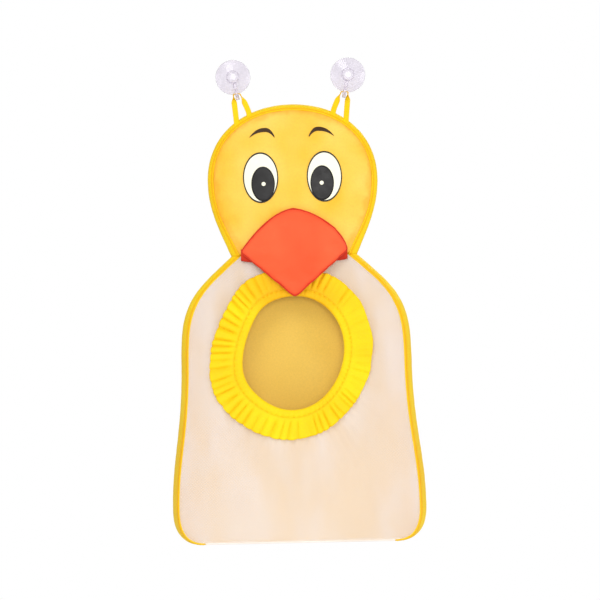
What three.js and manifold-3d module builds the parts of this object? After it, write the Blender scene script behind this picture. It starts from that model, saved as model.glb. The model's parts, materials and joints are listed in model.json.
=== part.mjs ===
// Hanging net bag in the shape of a duck, held on a wall by two suction cups.
// Millimetres. X is the viewer's right, Y points into the wall, Z is up.
// The origin lies on the wall, midway between the centres of the two suction cups.

import * as THREE from 'three';
import { mergeVertices } from 'three/addons/utils/BufferGeometryUtils.js';
import Module from 'manifold-3d';

const wasm = await Module();
wasm.setup();

// Outline of the bag, as drops below the top of the head and half widths
const headTopDrop = 33;
const headHalfWidth = 97;
const headWidestDrop = 86;
const headFullness = 0.59;
const cheekPull = 32;
const neckFlare = 14;
const neckHalfWidth = 71.5;
const neckDrop = 173;
const shoulderReach = 39.5;
const shoulderFall = 36;
const shoulderPull = 63;
const waistHalfWidth = 131.5;
const waistDrop = 285;
const waistPull = 90;
const hipPull = 62;
const hipHalfWidth = 145;
const hipDrop = 462;
const cornerReach = 29;
const cornerPull = 21;
const cornerTuck = 6;
const bagDrop = 500;

// Depth of the bag, forward of the wall
const headDepth = 11;
const baseDepth = 45;
const gussetLean = 10;
const headCrown = 11;
const crownDrop = 92;
const foamThickness = 5;
const crownPower = 2.6;
const netCrown = 3;

// Cloth and clearances
const clothThickness = 1.2;
const backThickness = 1;
const netThickness = 0.8;
const seamGap = 0.3;
const filmThickness = 0.4;
const filmGap = 0.25;

// Mouth, its casing, elastic and frill
const mouthBelowBeak = 62;
const mouthHalfWidth = 56;
const mouthHalfHeight = 66;
const casingWidth = 10;
const casingDepth = 6;
const casingSink = 2.5;
const casingSeatGap = 0.6;
const elasticWidth = 6;
const elasticThickness = 1.4;
const frillWidth = 23.5;
const frillThickness = 0.9;
const frillLift = 2.2;
const frillOuterLift = 3.1;
const frillWave = 2;
const frillScallop = 1;
const frillGathers = 32;

// Beak
const beakTopDrop = 120;
const beakCornerDrop = 168;
const beakTipDrop = 222;
const beakHalfWidth = 60.5;
const beakCornerRise = 22;
const beakCornerTuck = 3;
const beakBrowReach = 27;
const beakBrowFall = 4;
const beakCentreDepth = 34;
const beakTipDepth = 32;
const beakSeatGap = 0.9;
const beakSeamThickness = 4.5;
const beakEdge = 2.5;
const beakFlapCrown = 8;
const beakTipRound = 6;
const beakRimPower = 1.6;
const liningHeight = 12;
const liningInset = 0.5;
const liningLift = 1.5;

// Face films, as drops below the top of the head and offsets from the middle
const eyeOffset = 36.5;
const eyeDrop = 83.5;
const eyeHalfWidth = 20;
const eyeHalfHeight = 28.8;
const pupilOffset = 33.8;
const pupilDrop = 90.8;
const pupilHalfWidth = 13.4;
const pupilHalfHeight = 19.8;
const glintOffset = 33.2;
const glintRadius = 2.3;
const browOffset = 34;
const browDrop = 28.7;
const browHalfWidth = 14.3;
const browRise = 8.4;
const browThickness = 4.4;
const browEndThickness = 1;

// Suction cups, hooks and tape loops
const cupSpacing = 132;
const cupRadius = 20;
const cupRimWidth = 1.6;
const cupRimHeight = 0.9;
const cupHeight = 8;
const cupHollow = 3.6;
const cupFillet = 1.5;
const cupShoulderRadius = 10;
const cupShoulderHeight = 5.6;
const cupSkirtRadius = 15.6;
const cupSkirtHeight = 3.2;
const cupNeckRadius = 4.5;
const cupKnobRadius = 6.2;
const cupKnobHeight = 4.5;
const cupKnobRound = 2;
const ringThickness = 2.6;
const ringWall = 2.7;
const hookWidth = 4.5;
const hookDrop = 20.5;
const hookTroughRadius = 4.2;
const hookLip = 6;
const tapeWidth = 6.3;
const tapeThickness = 1.5;
const loopStrandHalf = 5.4;
const loopBaseOffset = 55.5;
const loopBaseSpread = 15;
const loopBaseDepth = 7;
const loopBend = 2.2;

// Sampling
const roundSteps = 20;
const mouthSteps = 48;
const stepsPerGather = 6;
const eyeSteps = 24;
const glintSteps = 8;
const browSteps = 8;
const liningSteps = 12;
const neckSeamSteps = 8;
const netBaseSteps = 9;
const crownSteps = 10;
const cheekSteps = 6;
const shoulderSteps = 7;
const sideSteps = 9;
const cornerSteps = 6;
const beakUpperSteps = 10;
const beakLowerSteps = 7;
const beakTipSteps = 2;
const ringShares = [0, 0.3, 0.55, 0.75, 0.9, 1];
const netShares = [0, 0.25, 0.5, 0.75, 1];
const filmShares = [0, 0.5, 1];
const beakShares = [0, 0.2, 0.4, 0.6, 0.8, 1];
const frillShares = [0, 0.45, 1];

const headTopZ = -headTopDrop;
const zAt = (drop) => headTopZ - drop;
const neckZ = zAt(neckDrop);
const baseZ = zAt(bagDrop);
const mouthZ = zAt(beakTipDrop + mouthBelowBeak);

// Materials
function cloth(colour, roughness) {
  return new THREE.MeshStandardMaterial({ color: colour, roughness, metalness: 0 });
}
const goldCloth = cloth(0xfdd75a, 0.85);
const yellowCloth = cloth(0xf7cf2a, 0.85);
const frillCloth = cloth(0xfce10e, 0.8);
const redCloth = cloth(0xfe6e45, 0.8);
const darkRedCloth = cloth(0xd74e20, 0.8);
const whiteNet = cloth(0xf4ece6, 0.7);
const foam = cloth(0xf6f3ea, 0.95);
const rubberBand = cloth(0xeeeeea, 0.7);
const whiteFilm = cloth(0xfaf8eb, 0.5);
const darkFilm = cloth(0x2f2a24, 0.5);
const brownFilm = cloth(0x5e461d, 0.5);
const clearPlastic = new THREE.MeshStandardMaterial({
  color: 0xeee7f0,
  roughness: 0.15,
  metalness: 0,
  transparent: true,
  opacity: 0.45,
});

const model = new THREE.Group();

function addPiece(name, geometry, material) {
  const mesh = new THREE.Mesh(geometry, material);
  mesh.name = name;
  model.add(mesh);
  return mesh;
}

// A closed body from cross sections of equal length, joined in a ring or capped at both ends.
// A section runs along its front and comes back along its rear, so a cap is a ladder between the two.
function capTriangles(count) {
  const triangles = [];
  for (let i = 0; i < count / 2 - 1; i += 1) {
    const across = count - 1 - i;
    triangles.push([i, i + 1, across - 1], [i, across - 1, across]);
  }
  return triangles;
}

function loft(sections, closed) {
  const count = sections[0].length;
  const index = [];
  const spans = closed ? sections.length : sections.length - 1;
  for (let i = 0; i < spans; i += 1) {
    const a = i * count;
    const b = ((i + 1) % sections.length) * count;
    for (let j = 0; j < count; j += 1) {
      const k = (j + 1) % count;
      const isRear = j >= count / 2;
      if (isRear) index.push(a + j, b + j, a + k, b + j, b + k, a + k);
      else index.push(a + j, b + j, b + k, a + j, b + k, a + k);
    }
  }
  if (!closed) {
    const last = (sections.length - 1) * count;
    for (const [p, q, r] of capTriangles(count)) {
      index.push(p, q, r, last + p, last + r, last + q);
    }
  }
  const positions = sections.flat().flatMap((p) => [p.x, p.y, p.z]);
  return closedGeometry(positions, index);
}

// Merges shared corners, drops collapsed triangles and turns the faces outward
function closedGeometry(positions, index) {
  const loose = new THREE.BufferGeometry();
  loose.setAttribute('position', new THREE.Float32BufferAttribute(positions, 3));
  loose.setIndex(index);
  const merged = mergeVertices(loose, 1e-4);
  const source = merged.index.array;
  const corners = merged.attributes.position;
  const a = new THREE.Vector3();
  const b = new THREE.Vector3();
  const c = new THREE.Vector3();
  let volume = 0;
  const kept = [];
  for (let i = 0; i < source.length; i += 3) {
    const [p, q, r] = [source[i], source[i + 1], source[i + 2]];
    if (p === q || q === r || r === p) continue;
    a.fromBufferAttribute(corners, p);
    b.fromBufferAttribute(corners, q);
    c.fromBufferAttribute(corners, r);
    volume += a.dot(b.clone().cross(c));
    kept.push(p, q, r);
  }
  if (volume < 0) kept.reverse();
  const geometry = new THREE.BufferGeometry();
  geometry.setAttribute('position', corners);
  geometry.setIndex(kept);
  geometry.computeVertexNormals();
  return geometry;
}

// Joins closed geometries into one body
function toSolid(geometry) {
  const bare = geometry.clone();
  bare.deleteAttribute('normal');
  bare.deleteAttribute('uv');
  const merged = mergeVertices(bare, 1e-4);
  return new wasm.Manifold(new wasm.Mesh({
    numProp: 3,
    vertProperties: new Float32Array(merged.attributes.position.array),
    triVerts: new Uint32Array(merged.index.array),
  }));
}

function joined(first, second) {
  const mesh = toSolid(first).add(toSolid(second)).getMesh();
  return closedGeometry(Array.from(mesh.vertProperties), Array.from(mesh.triVerts));
}

// Outline of the right half, from the top of the head to the middle of the base
function sideCurves(inset) {
  const head = headHalfWidth - inset;
  const neck = neckHalfWidth - inset;
  const waist = waistHalfWidth - inset;
  const hip = hipHalfWidth - inset;
  const topZ = zAt(inset);
  const at = (x, drop) => new THREE.Vector2(x, zAt(drop));
  const widestZ = zAt(headWidestDrop);
  const crown = new THREE.CubicBezierCurve(
    new THREE.Vector2(0, topZ),
    new THREE.Vector2(head * headFullness, topZ),
    new THREE.Vector2(head, widestZ + (topZ - widestZ) * headFullness),
    new THREE.Vector2(head, widestZ),
  );
  const cheek = new THREE.CubicBezierCurve(
    at(head, headWidestDrop),
    at(head, headWidestDrop + cheekPull),
    at(neck + neckFlare, neckDrop - cheekPull),
    at(neck, neckDrop),
  );
  const shoulder = new THREE.CubicBezierCurve(
    at(neck, neckDrop),
    at(neck + shoulderReach, neckDrop + shoulderFall),
    at(waist, waistDrop - shoulderPull),
    at(waist, waistDrop),
  );
  const side = new THREE.CubicBezierCurve(
    at(waist, waistDrop),
    at(waist, waistDrop + waistPull),
    at(hip, hipDrop - hipPull),
    at(hip, hipDrop),
  );
  const corner = new THREE.CubicBezierCurve(
    at(hip, hipDrop),
    at(hip, hipDrop + cornerPull),
    at(hip - cornerTuck, bagDrop),
    at(hip - cornerReach, bagDrop),
  );
  return { crown, cheek, shoulder, side, corner };
}

function sample(curve, steps, from = 0, to = 1) {
  const points = [];
  for (let i = 0; i <= steps; i += 1) {
    points.push(curve.getPoint(from + ((to - from) * i) / steps));
  }
  return points;
}

// Right half of the head from its top to the neck, and of the pouch from the neck to the base
function headSide(inset) {
  const curves = sideCurves(inset);
  const neckTrim = 1 - seamGap / curves.cheek.getLength();
  return [
    ...sample(curves.crown, crownSteps),
    ...sample(curves.cheek, cheekSteps, 0, neckTrim).slice(1),
  ];
}

function pouchSide(inset) {
  const curves = sideCurves(inset);
  const neckTrim = seamGap / curves.shoulder.getLength();
  return [
    ...sample(curves.shoulder, shoulderSteps, neckTrim),
    ...sample(curves.side, sideSteps).slice(1),
    ...sample(curves.corner, cornerSteps).slice(1),
  ];
}

const mirrored = (points) => points.map((p) => new THREE.Vector2(-p.x, p.y)).reverse();

// Depth of the front seam: even round the head, then growing from the neck to the base
function seamDepth(z) {
  const share = THREE.MathUtils.clamp((neckZ - z) / (neckZ - baseZ), 0, 1);
  return headDepth + (baseDepth - headDepth) * Math.sin((share * Math.PI) / 2);
}

const forward = (x, depth, z) => new THREE.Vector3(x, -depth, z);

// Inward unit normals of an open run of outline points
function inwardNormals(points, towards) {
  return points.map((point, i) => {
    const before = points[Math.max(i - 1, 0)];
    const after = points[Math.min(i + 1, points.length - 1)];
    const normal = new THREE.Vector2(before.y - after.y, after.x - before.x).normalize();
    const inside = towards.clone().sub(point);
    return normal.dot(inside) < 0 ? normal.negate() : normal;
  });
}

// Side strip of cloth from the back outline to the smaller front outline
const gussetBack = backThickness + seamGap;

function gussetStrip(backPoints, frontPoints, towards) {
  const normals = inwardNormals(backPoints, towards);
  const sections = backPoints.map((back, i) => {
    const front = frontPoints[i];
    const step = normals[i].clone().multiplyScalar(clothThickness);
    const depth = seamDepth(front.y);
    return [
      forward(back.x, gussetBack, back.y),
      forward(front.x, depth, front.y),
      forward(front.x + step.x, depth, front.y + step.y),
      forward(back.x + step.x, gussetBack, back.y + step.y),
    ];
  });
  return loft(sections, false);
}

const headCentre = new THREE.Vector2(0, zAt(crownDrop));
const pouchCentre = new THREE.Vector2(0, mouthZ);

function wholeHead(inset) {
  const right = headSide(inset);
  return [...mirrored(right), ...right.slice(1)];
}

// Back panel
const rightOutline = [...headSide(0), ...pouchSide(0)];
const backShape = new THREE.Shape([...rightOutline, ...mirrored(rightOutline).slice(0, -1)]);
const backGeometry = new THREE.ExtrudeGeometry(backShape, { depth: backThickness, bevelEnabled: false });
backGeometry.rotateX(Math.PI / 2);
addPiece('back_panel', backGeometry, yellowCloth);

// Gussets and base
addPiece('head_gusset', gussetStrip(wholeHead(0), wholeHead(gussetLean), headCentre), yellowCloth);
const rightGusset = gussetStrip(pouchSide(0), pouchSide(gussetLean), pouchCentre);
addPiece('right_gusset', rightGusset, yellowCloth);
addPiece('left_gusset', mirroredGeometry(rightGusset), yellowCloth);

const baseBackX = hipHalfWidth - cornerReach - seamGap;
const baseFrontX = baseBackX - gussetLean;
const baseSections = [-1, 1].map((way) => [
  forward(way * baseBackX, gussetBack, baseZ),
  forward(way * baseFrontX, baseDepth, baseZ),
  forward(way * baseFrontX, baseDepth, baseZ + clothThickness),
  forward(way * baseBackX, gussetBack, baseZ + clothThickness),
]);
addPiece('base_panel', loft(baseSections, false), whiteNet);

// Head: a crowned cover over a sheet of foam
const frontHead = wholeHead(gussetLean);
const neckSeam = [];
const neckSeamZ = frontHead[0].y + seamGap / 2;
for (let i = 1; i < neckSeamSteps; i += 1) {
  const x = neckHalfWidth - gussetLean;
  neckSeam.push(new THREE.Vector2(x - (2 * x * i) / neckSeamSteps, neckSeamZ));
}
const headLoop = [...frontHead, ...neckSeam];
const coverRim = headDepth + seamGap + clothThickness;

// Share of the way from the middle of the head to its front outline
function headShare(x, z) {
  const reach = new THREE.Vector2(x - headCentre.x, z - headCentre.y);
  const length = reach.length();
  if (length === 0) return 0;
  const way = reach.clone().normalize();
  let edge = 0;
  headLoop.forEach((point, i) => {
    const next = headLoop[(i + 1) % headLoop.length];
    const from = point.clone().sub(headCentre);
    const span = next.clone().sub(point);
    const turn = way.cross(span);
    if (turn === 0) return;
    const along = from.cross(span) / turn;
    const across = from.cross(way) / turn;
    if (along > 0 && across >= -1e-6 && across <= 1 + 1e-6) edge = Math.max(edge, along);
  });
  return Math.min(length / edge, 1);
}

const crownAt = (share) => headCrown * (1 - share ** crownPower);
const headDepthAt = (x, z) => coverRim + crownAt(headShare(x, z));

function headSections(loop, frontDepth, backDepth) {
  return loop.map((edge) => {
    const row = ringShares.map((share) => headCentre.clone().lerp(edge, share));
    const front = row.map((p, i) => forward(p.x, frontDepth(ringShares[i]), p.y));
    const back = row.map((p, i) => forward(p.x, backDepth(ringShares[i]), p.y));
    return [...front, ...back.reverse()];
  });
}

const coverFront = (share) => coverRim + crownAt(share);
const coverBack = (share) => coverRim + crownAt(share) - clothThickness;
addPiece('head_cover', loft(headSections(headLoop, coverFront, coverBack), true), goldCloth);

const foamShrink = 1 - (clothThickness + 2 * seamGap) / (neckHalfWidth - gussetLean);
const foamLoop = headLoop.map((p) => headCentre.clone().lerp(p, foamShrink));
const foamFront = (share) => coverBack(share) - seamGap;
const foamBack = (share) => foamFront(share) - foamThickness;
addPiece('head_foam', loft(headSections(foamLoop, foamFront, foamBack), true), foam);

// Face films, each lying on the crown of the head
function filmPatch(points, centre, layer) {
  const low = filmGap + layer * (filmThickness + filmGap);
  const high = low + filmThickness;
  const sections = points.map((edge) => {
    const row = filmShares.map((share) => centre.clone().lerp(edge, share));
    const front = row.map((p) => forward(p.x, headDepthAt(p.x, p.y) + high, p.y));
    const back = row.map((p) => forward(p.x, headDepthAt(p.x, p.y) + low, p.y));
    return [...front, ...back.reverse()];
  });
  return loft(sections, true);
}

function ovalPoints(centre, halfWidth, halfHeight, steps) {
  const points = [];
  for (let i = 0; i < steps; i += 1) {
    const angle = (2 * Math.PI * i) / steps;
    const x = centre.x + halfWidth * Math.cos(angle);
    points.push(new THREE.Vector2(x, centre.y + halfHeight * Math.sin(angle)));
  }
  return points;
}

function browBand(way) {
  const sections = [];
  for (let i = 0; i <= browSteps; i += 1) {
    const share = (2 * i) / browSteps - 1;
    const x = way * browOffset + browHalfWidth * share;
    const middle = zAt(browDrop) - browRise * share ** 2;
    const half = (browEndThickness + (browThickness - browEndThickness) * (1 - share ** 2)) / 2;
    const corner = (z, lift) => forward(x, headDepthAt(x, z) + lift, z);
    sections.push([
      corner(middle + half, filmGap),
      corner(middle + half, filmGap + filmThickness),
      corner(middle - half, filmGap + filmThickness),
      corner(middle - half, filmGap),
    ]);
  }
  return loft(sections, false);
}

for (const [side, way] of [['left', -1], ['right', 1]]) {
  const eye = new THREE.Vector2(way * eyeOffset, zAt(eyeDrop));
  const pupil = new THREE.Vector2(way * pupilOffset, zAt(pupilDrop));
  const glint = new THREE.Vector2(way * glintOffset, zAt(pupilDrop));
  const white = filmPatch(ovalPoints(eye, eyeHalfWidth, eyeHalfHeight, eyeSteps), eye, 0);
  const dark = filmPatch(ovalPoints(pupil, pupilHalfWidth, pupilHalfHeight, eyeSteps), pupil, 1);
  const spot = filmPatch(ovalPoints(glint, glintRadius, glintRadius, glintSteps), glint, 2);
  addPiece(`${side}_eye_white`, white, whiteFilm);
  addPiece(`${side}_pupil`, dark, darkFilm);
  addPiece(`${side}_glint`, spot, whiteFilm);
  addPiece(`${side}_brow`, browBand(way), brownFilm);
}

// Beak: a padded diamond whose lower half hangs free below the line of its two corners
const beakCentre = new THREE.Vector2(0, zAt(beakCornerDrop));

const beakUpperEdge = new THREE.CubicBezierCurve(
  new THREE.Vector2(beakHalfWidth, beakCentre.y),
  new THREE.Vector2(beakHalfWidth - beakCornerTuck, zAt(beakCornerDrop - beakCornerRise)),
  new THREE.Vector2(beakBrowReach, zAt(beakTopDrop + beakBrowFall)),
  new THREE.Vector2(0, zAt(beakTopDrop)),
);
const beakTip = new THREE.Vector2(0, zAt(beakTipDrop));
const beakCorner = new THREE.Vector2(beakHalfWidth, beakCentre.y);
const tipStart = beakTip.clone().lerp(beakCorner, beakTipRound / beakHalfWidth);
const tipMiddle = new THREE.Vector2(0, (tipStart.y + beakTip.y) / 2);
const beakTipEdge = new THREE.QuadraticBezierCurve(tipStart, tipStart.clone().lerp(beakTip, 1 / 2), tipMiddle);
const beakLowerEdge = [
  ...sample(new THREE.LineCurve(beakCorner, tipStart), beakLowerSteps),
  ...sample(beakTipEdge, beakTipSteps).slice(1),
];

function wholeEdge(rightPoints) {
  return [...rightPoints, ...mirrored(rightPoints).slice(1)];
}

const beakSeamDepth = (p) => headDepthAt(p.x, p.y) + beakSeatGap + beakSeamThickness;
const beakCornerDepth = beakSeamDepth(new THREE.Vector2(beakHalfWidth, beakCentre.y));
const beakHemDepth = (p) => {
  const reach = Math.min(Math.abs(p.x) / beakHalfWidth, 1);
  return beakTipDepth + (beakCornerDepth - beakTipDepth) * reach ** beakRimPower;
};

function beakHalf(edge, lift, rimDepth, backDepth) {
  const sections = edge.map((rim) => {
    const start = new THREE.Vector2(0, beakCentre.y + lift);
    const end = new THREE.Vector2(rim.x, rim.y + (Math.abs(rim.y - beakCentre.y) < 1e-6 ? lift : 0));
    const row = beakShares.map((share) => start.clone().lerp(end, share));
    const depths = beakShares.map((share) => THREE.MathUtils.lerp(beakCentreDepth, rimDepth(rim), share ** 2));
    const front = row.map((p, i) => forward(p.x, depths[i], p.y));
    const back = row.map((p, i) => forward(p.x, backDepth(p, beakShares[i], depths[i]), p.y));
    return [...front, ...back.reverse()];
  });
  return loft(sections, false);
}

const seatOnHead = (p) => headDepthAt(p.x, p.y) + beakSeatGap;
const flapBack = (p, share, depth) => depth - beakEdge - beakFlapCrown * (1 - share ** 2);
const upperEdge = wholeEdge(sample(beakUpperEdge, beakUpperSteps));
const lowerEdge = wholeEdge(beakLowerEdge);
addPiece('beak_crown', beakHalf(upperEdge, seamGap / 2, beakSeamDepth, seatOnHead), redCloth);
addPiece('beak_flap', beakHalf(lowerEdge, -seamGap / 2, beakHemDepth, flapBack), redCloth);

// Lower bill: a dark strip that hangs from the beak's seam behind the free half
const liningHalf = beakHalfWidth - liningInset;
const liningTop = beakCentre.y - seamGap / 2;
const liningSections = [];
for (let i = 0; i <= liningSteps; i += 1) {
  const share = (2 * i) / liningSteps - 1;
  const x = liningHalf * share;
  const back = headDepthAt(x, liningTop) + beakSeatGap + liningLift * (1 - share ** 2);
  liningSections.push([
    forward(x, back, liningTop),
    forward(x, back + clothThickness, liningTop),
    forward(x, back + clothThickness, liningTop - liningHeight),
    forward(x, back, liningTop - liningHeight),
  ]);
}
addPiece('beak_lining', loft(liningSections, false), darkRedCloth);

// Front net: a crowned sheet between the front seam and the casing of the mouth
const pouchFront = pouchSide(gussetLean);
const netTopZ = pouchFront[0].y;
const netTop = [];
for (let i = 1; i < neckSeamSteps; i += 1) {
  const x = pouchFront[0].x;
  netTop.push(new THREE.Vector2(-x + (2 * x * i) / neckSeamSteps, netTopZ));
}
const netBaseX = pouchFront[pouchFront.length - 1].x;
const netBase = [];
for (let i = 1; i < netBaseSteps; i += 1) {
  netBase.push(new THREE.Vector2(netBaseX - (2 * netBaseX * i) / netBaseSteps, baseZ));
}
const netLoop = [...pouchFront, ...netBase, ...mirrored(pouchFront), ...netTop];

function mouthOval(way, widen) {
  const halfWidth = mouthHalfWidth + widen;
  const halfHeight = mouthHalfHeight + widen;
  const length = 1 / Math.hypot(way.x / halfWidth, way.y / halfHeight);
  return pouchCentre.clone().addScaledVector(way, length);
}

const netSections = netLoop.map((edge) => {
  const way = edge.clone().sub(pouchCentre).normalize();
  const start = mouthOval(way, casingWidth + casingSeatGap);
  const row = netShares.map((share) => start.clone().lerp(edge, share));
  const backs = row.map((p, i) => seamDepth(p.y) + seamGap + netCrown * (1 - netShares[i] ** 2));
  const front = row.map((p, i) => forward(p.x, backs[i] + netThickness, p.y));
  const back = row.map((p, i) => forward(p.x, backs[i], p.y));
  return [...front, ...back.reverse()];
});
addPiece('front_net', loft(netSections, true), whiteNet);

// Rings round the mouth, as cross sections of reach from the hole's edge and lift from the net
function mouthRing(steps, sectionAt) {
  const sections = [];
  for (let i = 0; i < steps; i += 1) {
    const angle = (2 * Math.PI * i) / steps;
    const way = new THREE.Vector2(Math.cos(angle), Math.sin(angle));
    sections.push(sectionAt(i).map(([reach, lift]) => {
      const p = mouthOval(way, reach);
      return forward(p.x, seamDepth(p.y) + seamGap + netCrown + lift, p.y);
    }));
  }
  return loft(sections, true);
}

const casingFront = casingDepth - casingSink;
const casingSection = [
  [0, -casingSink],
  [0, casingFront],
  [casingWidth, casingFront],
  [casingWidth, -casingSink],
  [casingWidth - clothThickness, -casingSink],
  [casingWidth - clothThickness, casingFront - clothThickness],
  [clothThickness, casingFront - clothThickness],
  [clothThickness, -casingSink],
];
addPiece('mouth_casing', mouthRing(mouthSteps, () => casingSection), frillCloth);

const elasticStart = (casingWidth - elasticWidth) / 2;
const elasticFront = casingFront - clothThickness - seamGap;
const elasticSection = [
  [elasticStart, elasticFront - elasticThickness],
  [elasticStart, elasticFront],
  [elasticStart + elasticWidth, elasticFront],
  [elasticStart + elasticWidth, elasticFront - elasticThickness],
];
addPiece('mouth_elastic', mouthRing(mouthSteps, () => elasticSection), rubberBand);

function frillSection(i) {
  const wave = Math.cos((2 * Math.PI * i) / stepsPerGather);
  const reach = frillWidth + frillScallop * wave;
  const row = frillShares.map((share) => {
    const lift = THREE.MathUtils.lerp(frillLift, frillOuterLift, share) + frillWave * share * wave;
    return [casingWidth + casingSeatGap + reach * share, lift];
  });
  const half = frillThickness / 2;
  const front = row.map(([out, lift]) => [out, lift + half]);
  const back = row.map(([out, lift]) => [out, lift - half]);
  return [...front, ...back.reverse()];
}
addPiece('mouth_frill', mouthRing(frillGathers * stepsPerGather, frillSection), frillCloth);

// Suction cup, turned about the line out of the wall
const neckLength = ringThickness + 2 * seamGap;
const knobBase = cupHeight + neckLength;
const cupProfile = [
  [0, cupHollow],
  [cupRadius / 2, cupHollow - cupRimHeight],
  [cupRadius - cupRimWidth, 0],
  [cupRadius, 0],
  [cupRadius, cupRimHeight],
  [cupSkirtRadius, cupSkirtHeight],
  [cupShoulderRadius, cupShoulderHeight],
  [cupNeckRadius + cupFillet, cupHeight - cupFillet / 2],
  [cupNeckRadius, cupHeight],
  [cupNeckRadius, knobBase],
  [cupKnobRadius, knobBase],
  [cupKnobRadius, knobBase + cupKnobHeight - cupKnobRound],
  [cupKnobRadius - cupKnobRound, knobBase + cupKnobHeight],
  [0, knobBase + cupKnobHeight],
].map(([radius, height]) => new THREE.Vector2(radius, height));

function latheSections(profile, steps) {
  const sections = [];
  for (let i = 0; i < steps; i += 1) {
    const angle = (2 * Math.PI * i) / steps;
    sections.push(profile.map((p) => forward(p.x * Math.cos(angle), p.y, p.x * Math.sin(angle))));
  }
  return loft(sections, true);
}

// Clip-on hook: a ring round the cup's neck, an arm and a trough that opens upward
const ringBack = cupHeight + seamGap;
const ringInner = cupNeckRadius + seamGap;
const ringOuter = ringInner + ringWall;
const troughDepth = ringBack + ringThickness + hookTroughRadius;

function hookGeometry() {
  const ringShape = new THREE.Shape().absarc(0, 0, ringOuter, 0, 2 * Math.PI);
  ringShape.holes.push(new THREE.Path().absarc(0, 0, ringInner, 0, 2 * Math.PI, true));
  const ring = new THREE.ExtrudeGeometry(ringShape, {
    depth: ringThickness,
    bevelEnabled: false,
    curveSegments: roundSteps,
  });
  ring.rotateX(Math.PI / 2);
  ring.translate(0, -ringBack, 0);

  const outer = hookTroughRadius + ringThickness;
  const arm = new THREE.Shape();
  arm.moveTo(ringBack, -(ringInner + ringWall / 2));
  arm.absarc(troughDepth, -hookDrop, outer, Math.PI, 2 * Math.PI);
  arm.lineTo(troughDepth + outer, -hookDrop + hookLip);
  arm.lineTo(troughDepth + hookTroughRadius, -hookDrop + hookLip);
  arm.absarc(troughDepth, -hookDrop, hookTroughRadius, 0, Math.PI, true);
  arm.lineTo(ringBack + ringThickness, -(ringInner + ringWall / 2));
  const armSolid = new THREE.ExtrudeGeometry(arm, {
    depth: hookWidth,
    bevelEnabled: false,
    curveSegments: roundSteps / 2,
  });
  const turn = new THREE.Matrix4().makeBasis(
    new THREE.Vector3(0, -1, 0),
    new THREE.Vector3(0, 0, 1),
    new THREE.Vector3(-1, 0, 0),
  );
  armSolid.applyMatrix4(turn);
  armSolid.translate(hookWidth / 2, 0, 0);
  return joined(ring, armSolid);
}

// Each hook leans in line with the pull of its loop
const cupX = cupSpacing / 2;
const loopSeamZ = outlineHeight(loopBaseOffset);
const hookLean = Math.atan2(cupX - loopBaseOffset, -loopSeamZ);
const hookX = cupX - hookDrop * Math.sin(hookLean);
const hookZ = -hookDrop * Math.cos(hookLean);

// Height of the head's side strip at an offset from the middle, on the loop's inner edge
function outlineHeight(x) {
  const share = (loopBaseDepth - tapeWidth / 2 - gussetBack) / (headDepth - gussetBack);
  const points = sample(sideCurves(gussetLean * share).crown, crownSteps * 4);
  const after = points.findIndex((p) => p.x >= x);
  const [a, b] = [points[after - 1], points[after]];
  return THREE.MathUtils.lerp(a.y, b.y, (x - a.x) / (b.x - a.x));
}

// Tape loop: two legs from the head's seam to a strand that lies in the hook's trough
function loopGeometry() {
  const seat = (x) => outlineHeight(x - tapeThickness / 2) + seamGap;
  const innerX = loopBaseOffset - loopBaseSpread / 2;
  const outerX = loopBaseOffset + loopBaseSpread / 2;
  const path = [
    [innerX, loopBaseDepth, seat(innerX)],
    [hookX - loopStrandHalf - loopBend / 2, troughDepth - loopBend / 2, hookZ - loopBend],
    [hookX - loopStrandHalf + loopBend / 2, troughDepth, hookZ],
    [hookX + loopStrandHalf - loopBend / 2, troughDepth, hookZ],
    [hookX + loopStrandHalf, troughDepth - loopBend / 2, hookZ - loopBend],
    [outerX, loopBaseDepth, seat(outerX)],
  ];
  const sections = path.map(([x, depth, z], i) => {
    const before = path[Math.max(i - 1, 0)];
    const after = path[Math.min(i + 1, path.length - 1)];
    const run = new THREE.Vector2(after[0] - before[0], after[2] - before[2]).normalize();
    const isEnd = i === 0 || i === path.length - 1;
    const across = isEnd ? new THREE.Vector2(-Math.sign(run.y), 0) : new THREE.Vector2(-run.y, run.x);
    const half = across.multiplyScalar(tapeThickness / 2);
    return [
      forward(x + half.x, depth - tapeWidth / 2, z + half.y),
      forward(x + half.x, depth + tapeWidth / 2, z + half.y),
      forward(x - half.x, depth + tapeWidth / 2, z - half.y),
      forward(x - half.x, depth - tapeWidth / 2, z - half.y),
    ];
  });
  return loft(sections, false);
}

function mirroredGeometry(geometry) {
  const flipped = Array.from(geometry.attributes.position.array, (v, i) => (i % 3 === 0 ? -v : v));
  return closedGeometry(flipped, Array.from(geometry.index.array));
}

const rightLoop = loopGeometry();
const hook = hookGeometry();
for (const [side, way] of [['left', -1], ['right', 1]]) {
  const cup = addPiece(`${side}_suction_cup`, latheSections(cupProfile, roundSteps), clearPlastic);
  cup.position.x = way * cupX;
  const cupHook = addPiece(`${side}_cup_hook`, hook, clearPlastic);
  cupHook.position.x = way * cupX;
  cupHook.rotation.y = way * hookLean;
  addPiece(`${side}_loop`, way > 0 ? rightLoop : mirroredGeometry(rightLoop), yellowCloth);
}

export default model;
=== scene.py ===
import bpy
import bmesh
import json
from bisect import bisect_left
from contextlib import contextmanager
from math import acos, atan2, copysign, cos, hypot, pi, radians, sin, tau
from mathutils import Matrix, Vector, noise
from mathutils.bvhtree import BVHTree


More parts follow.
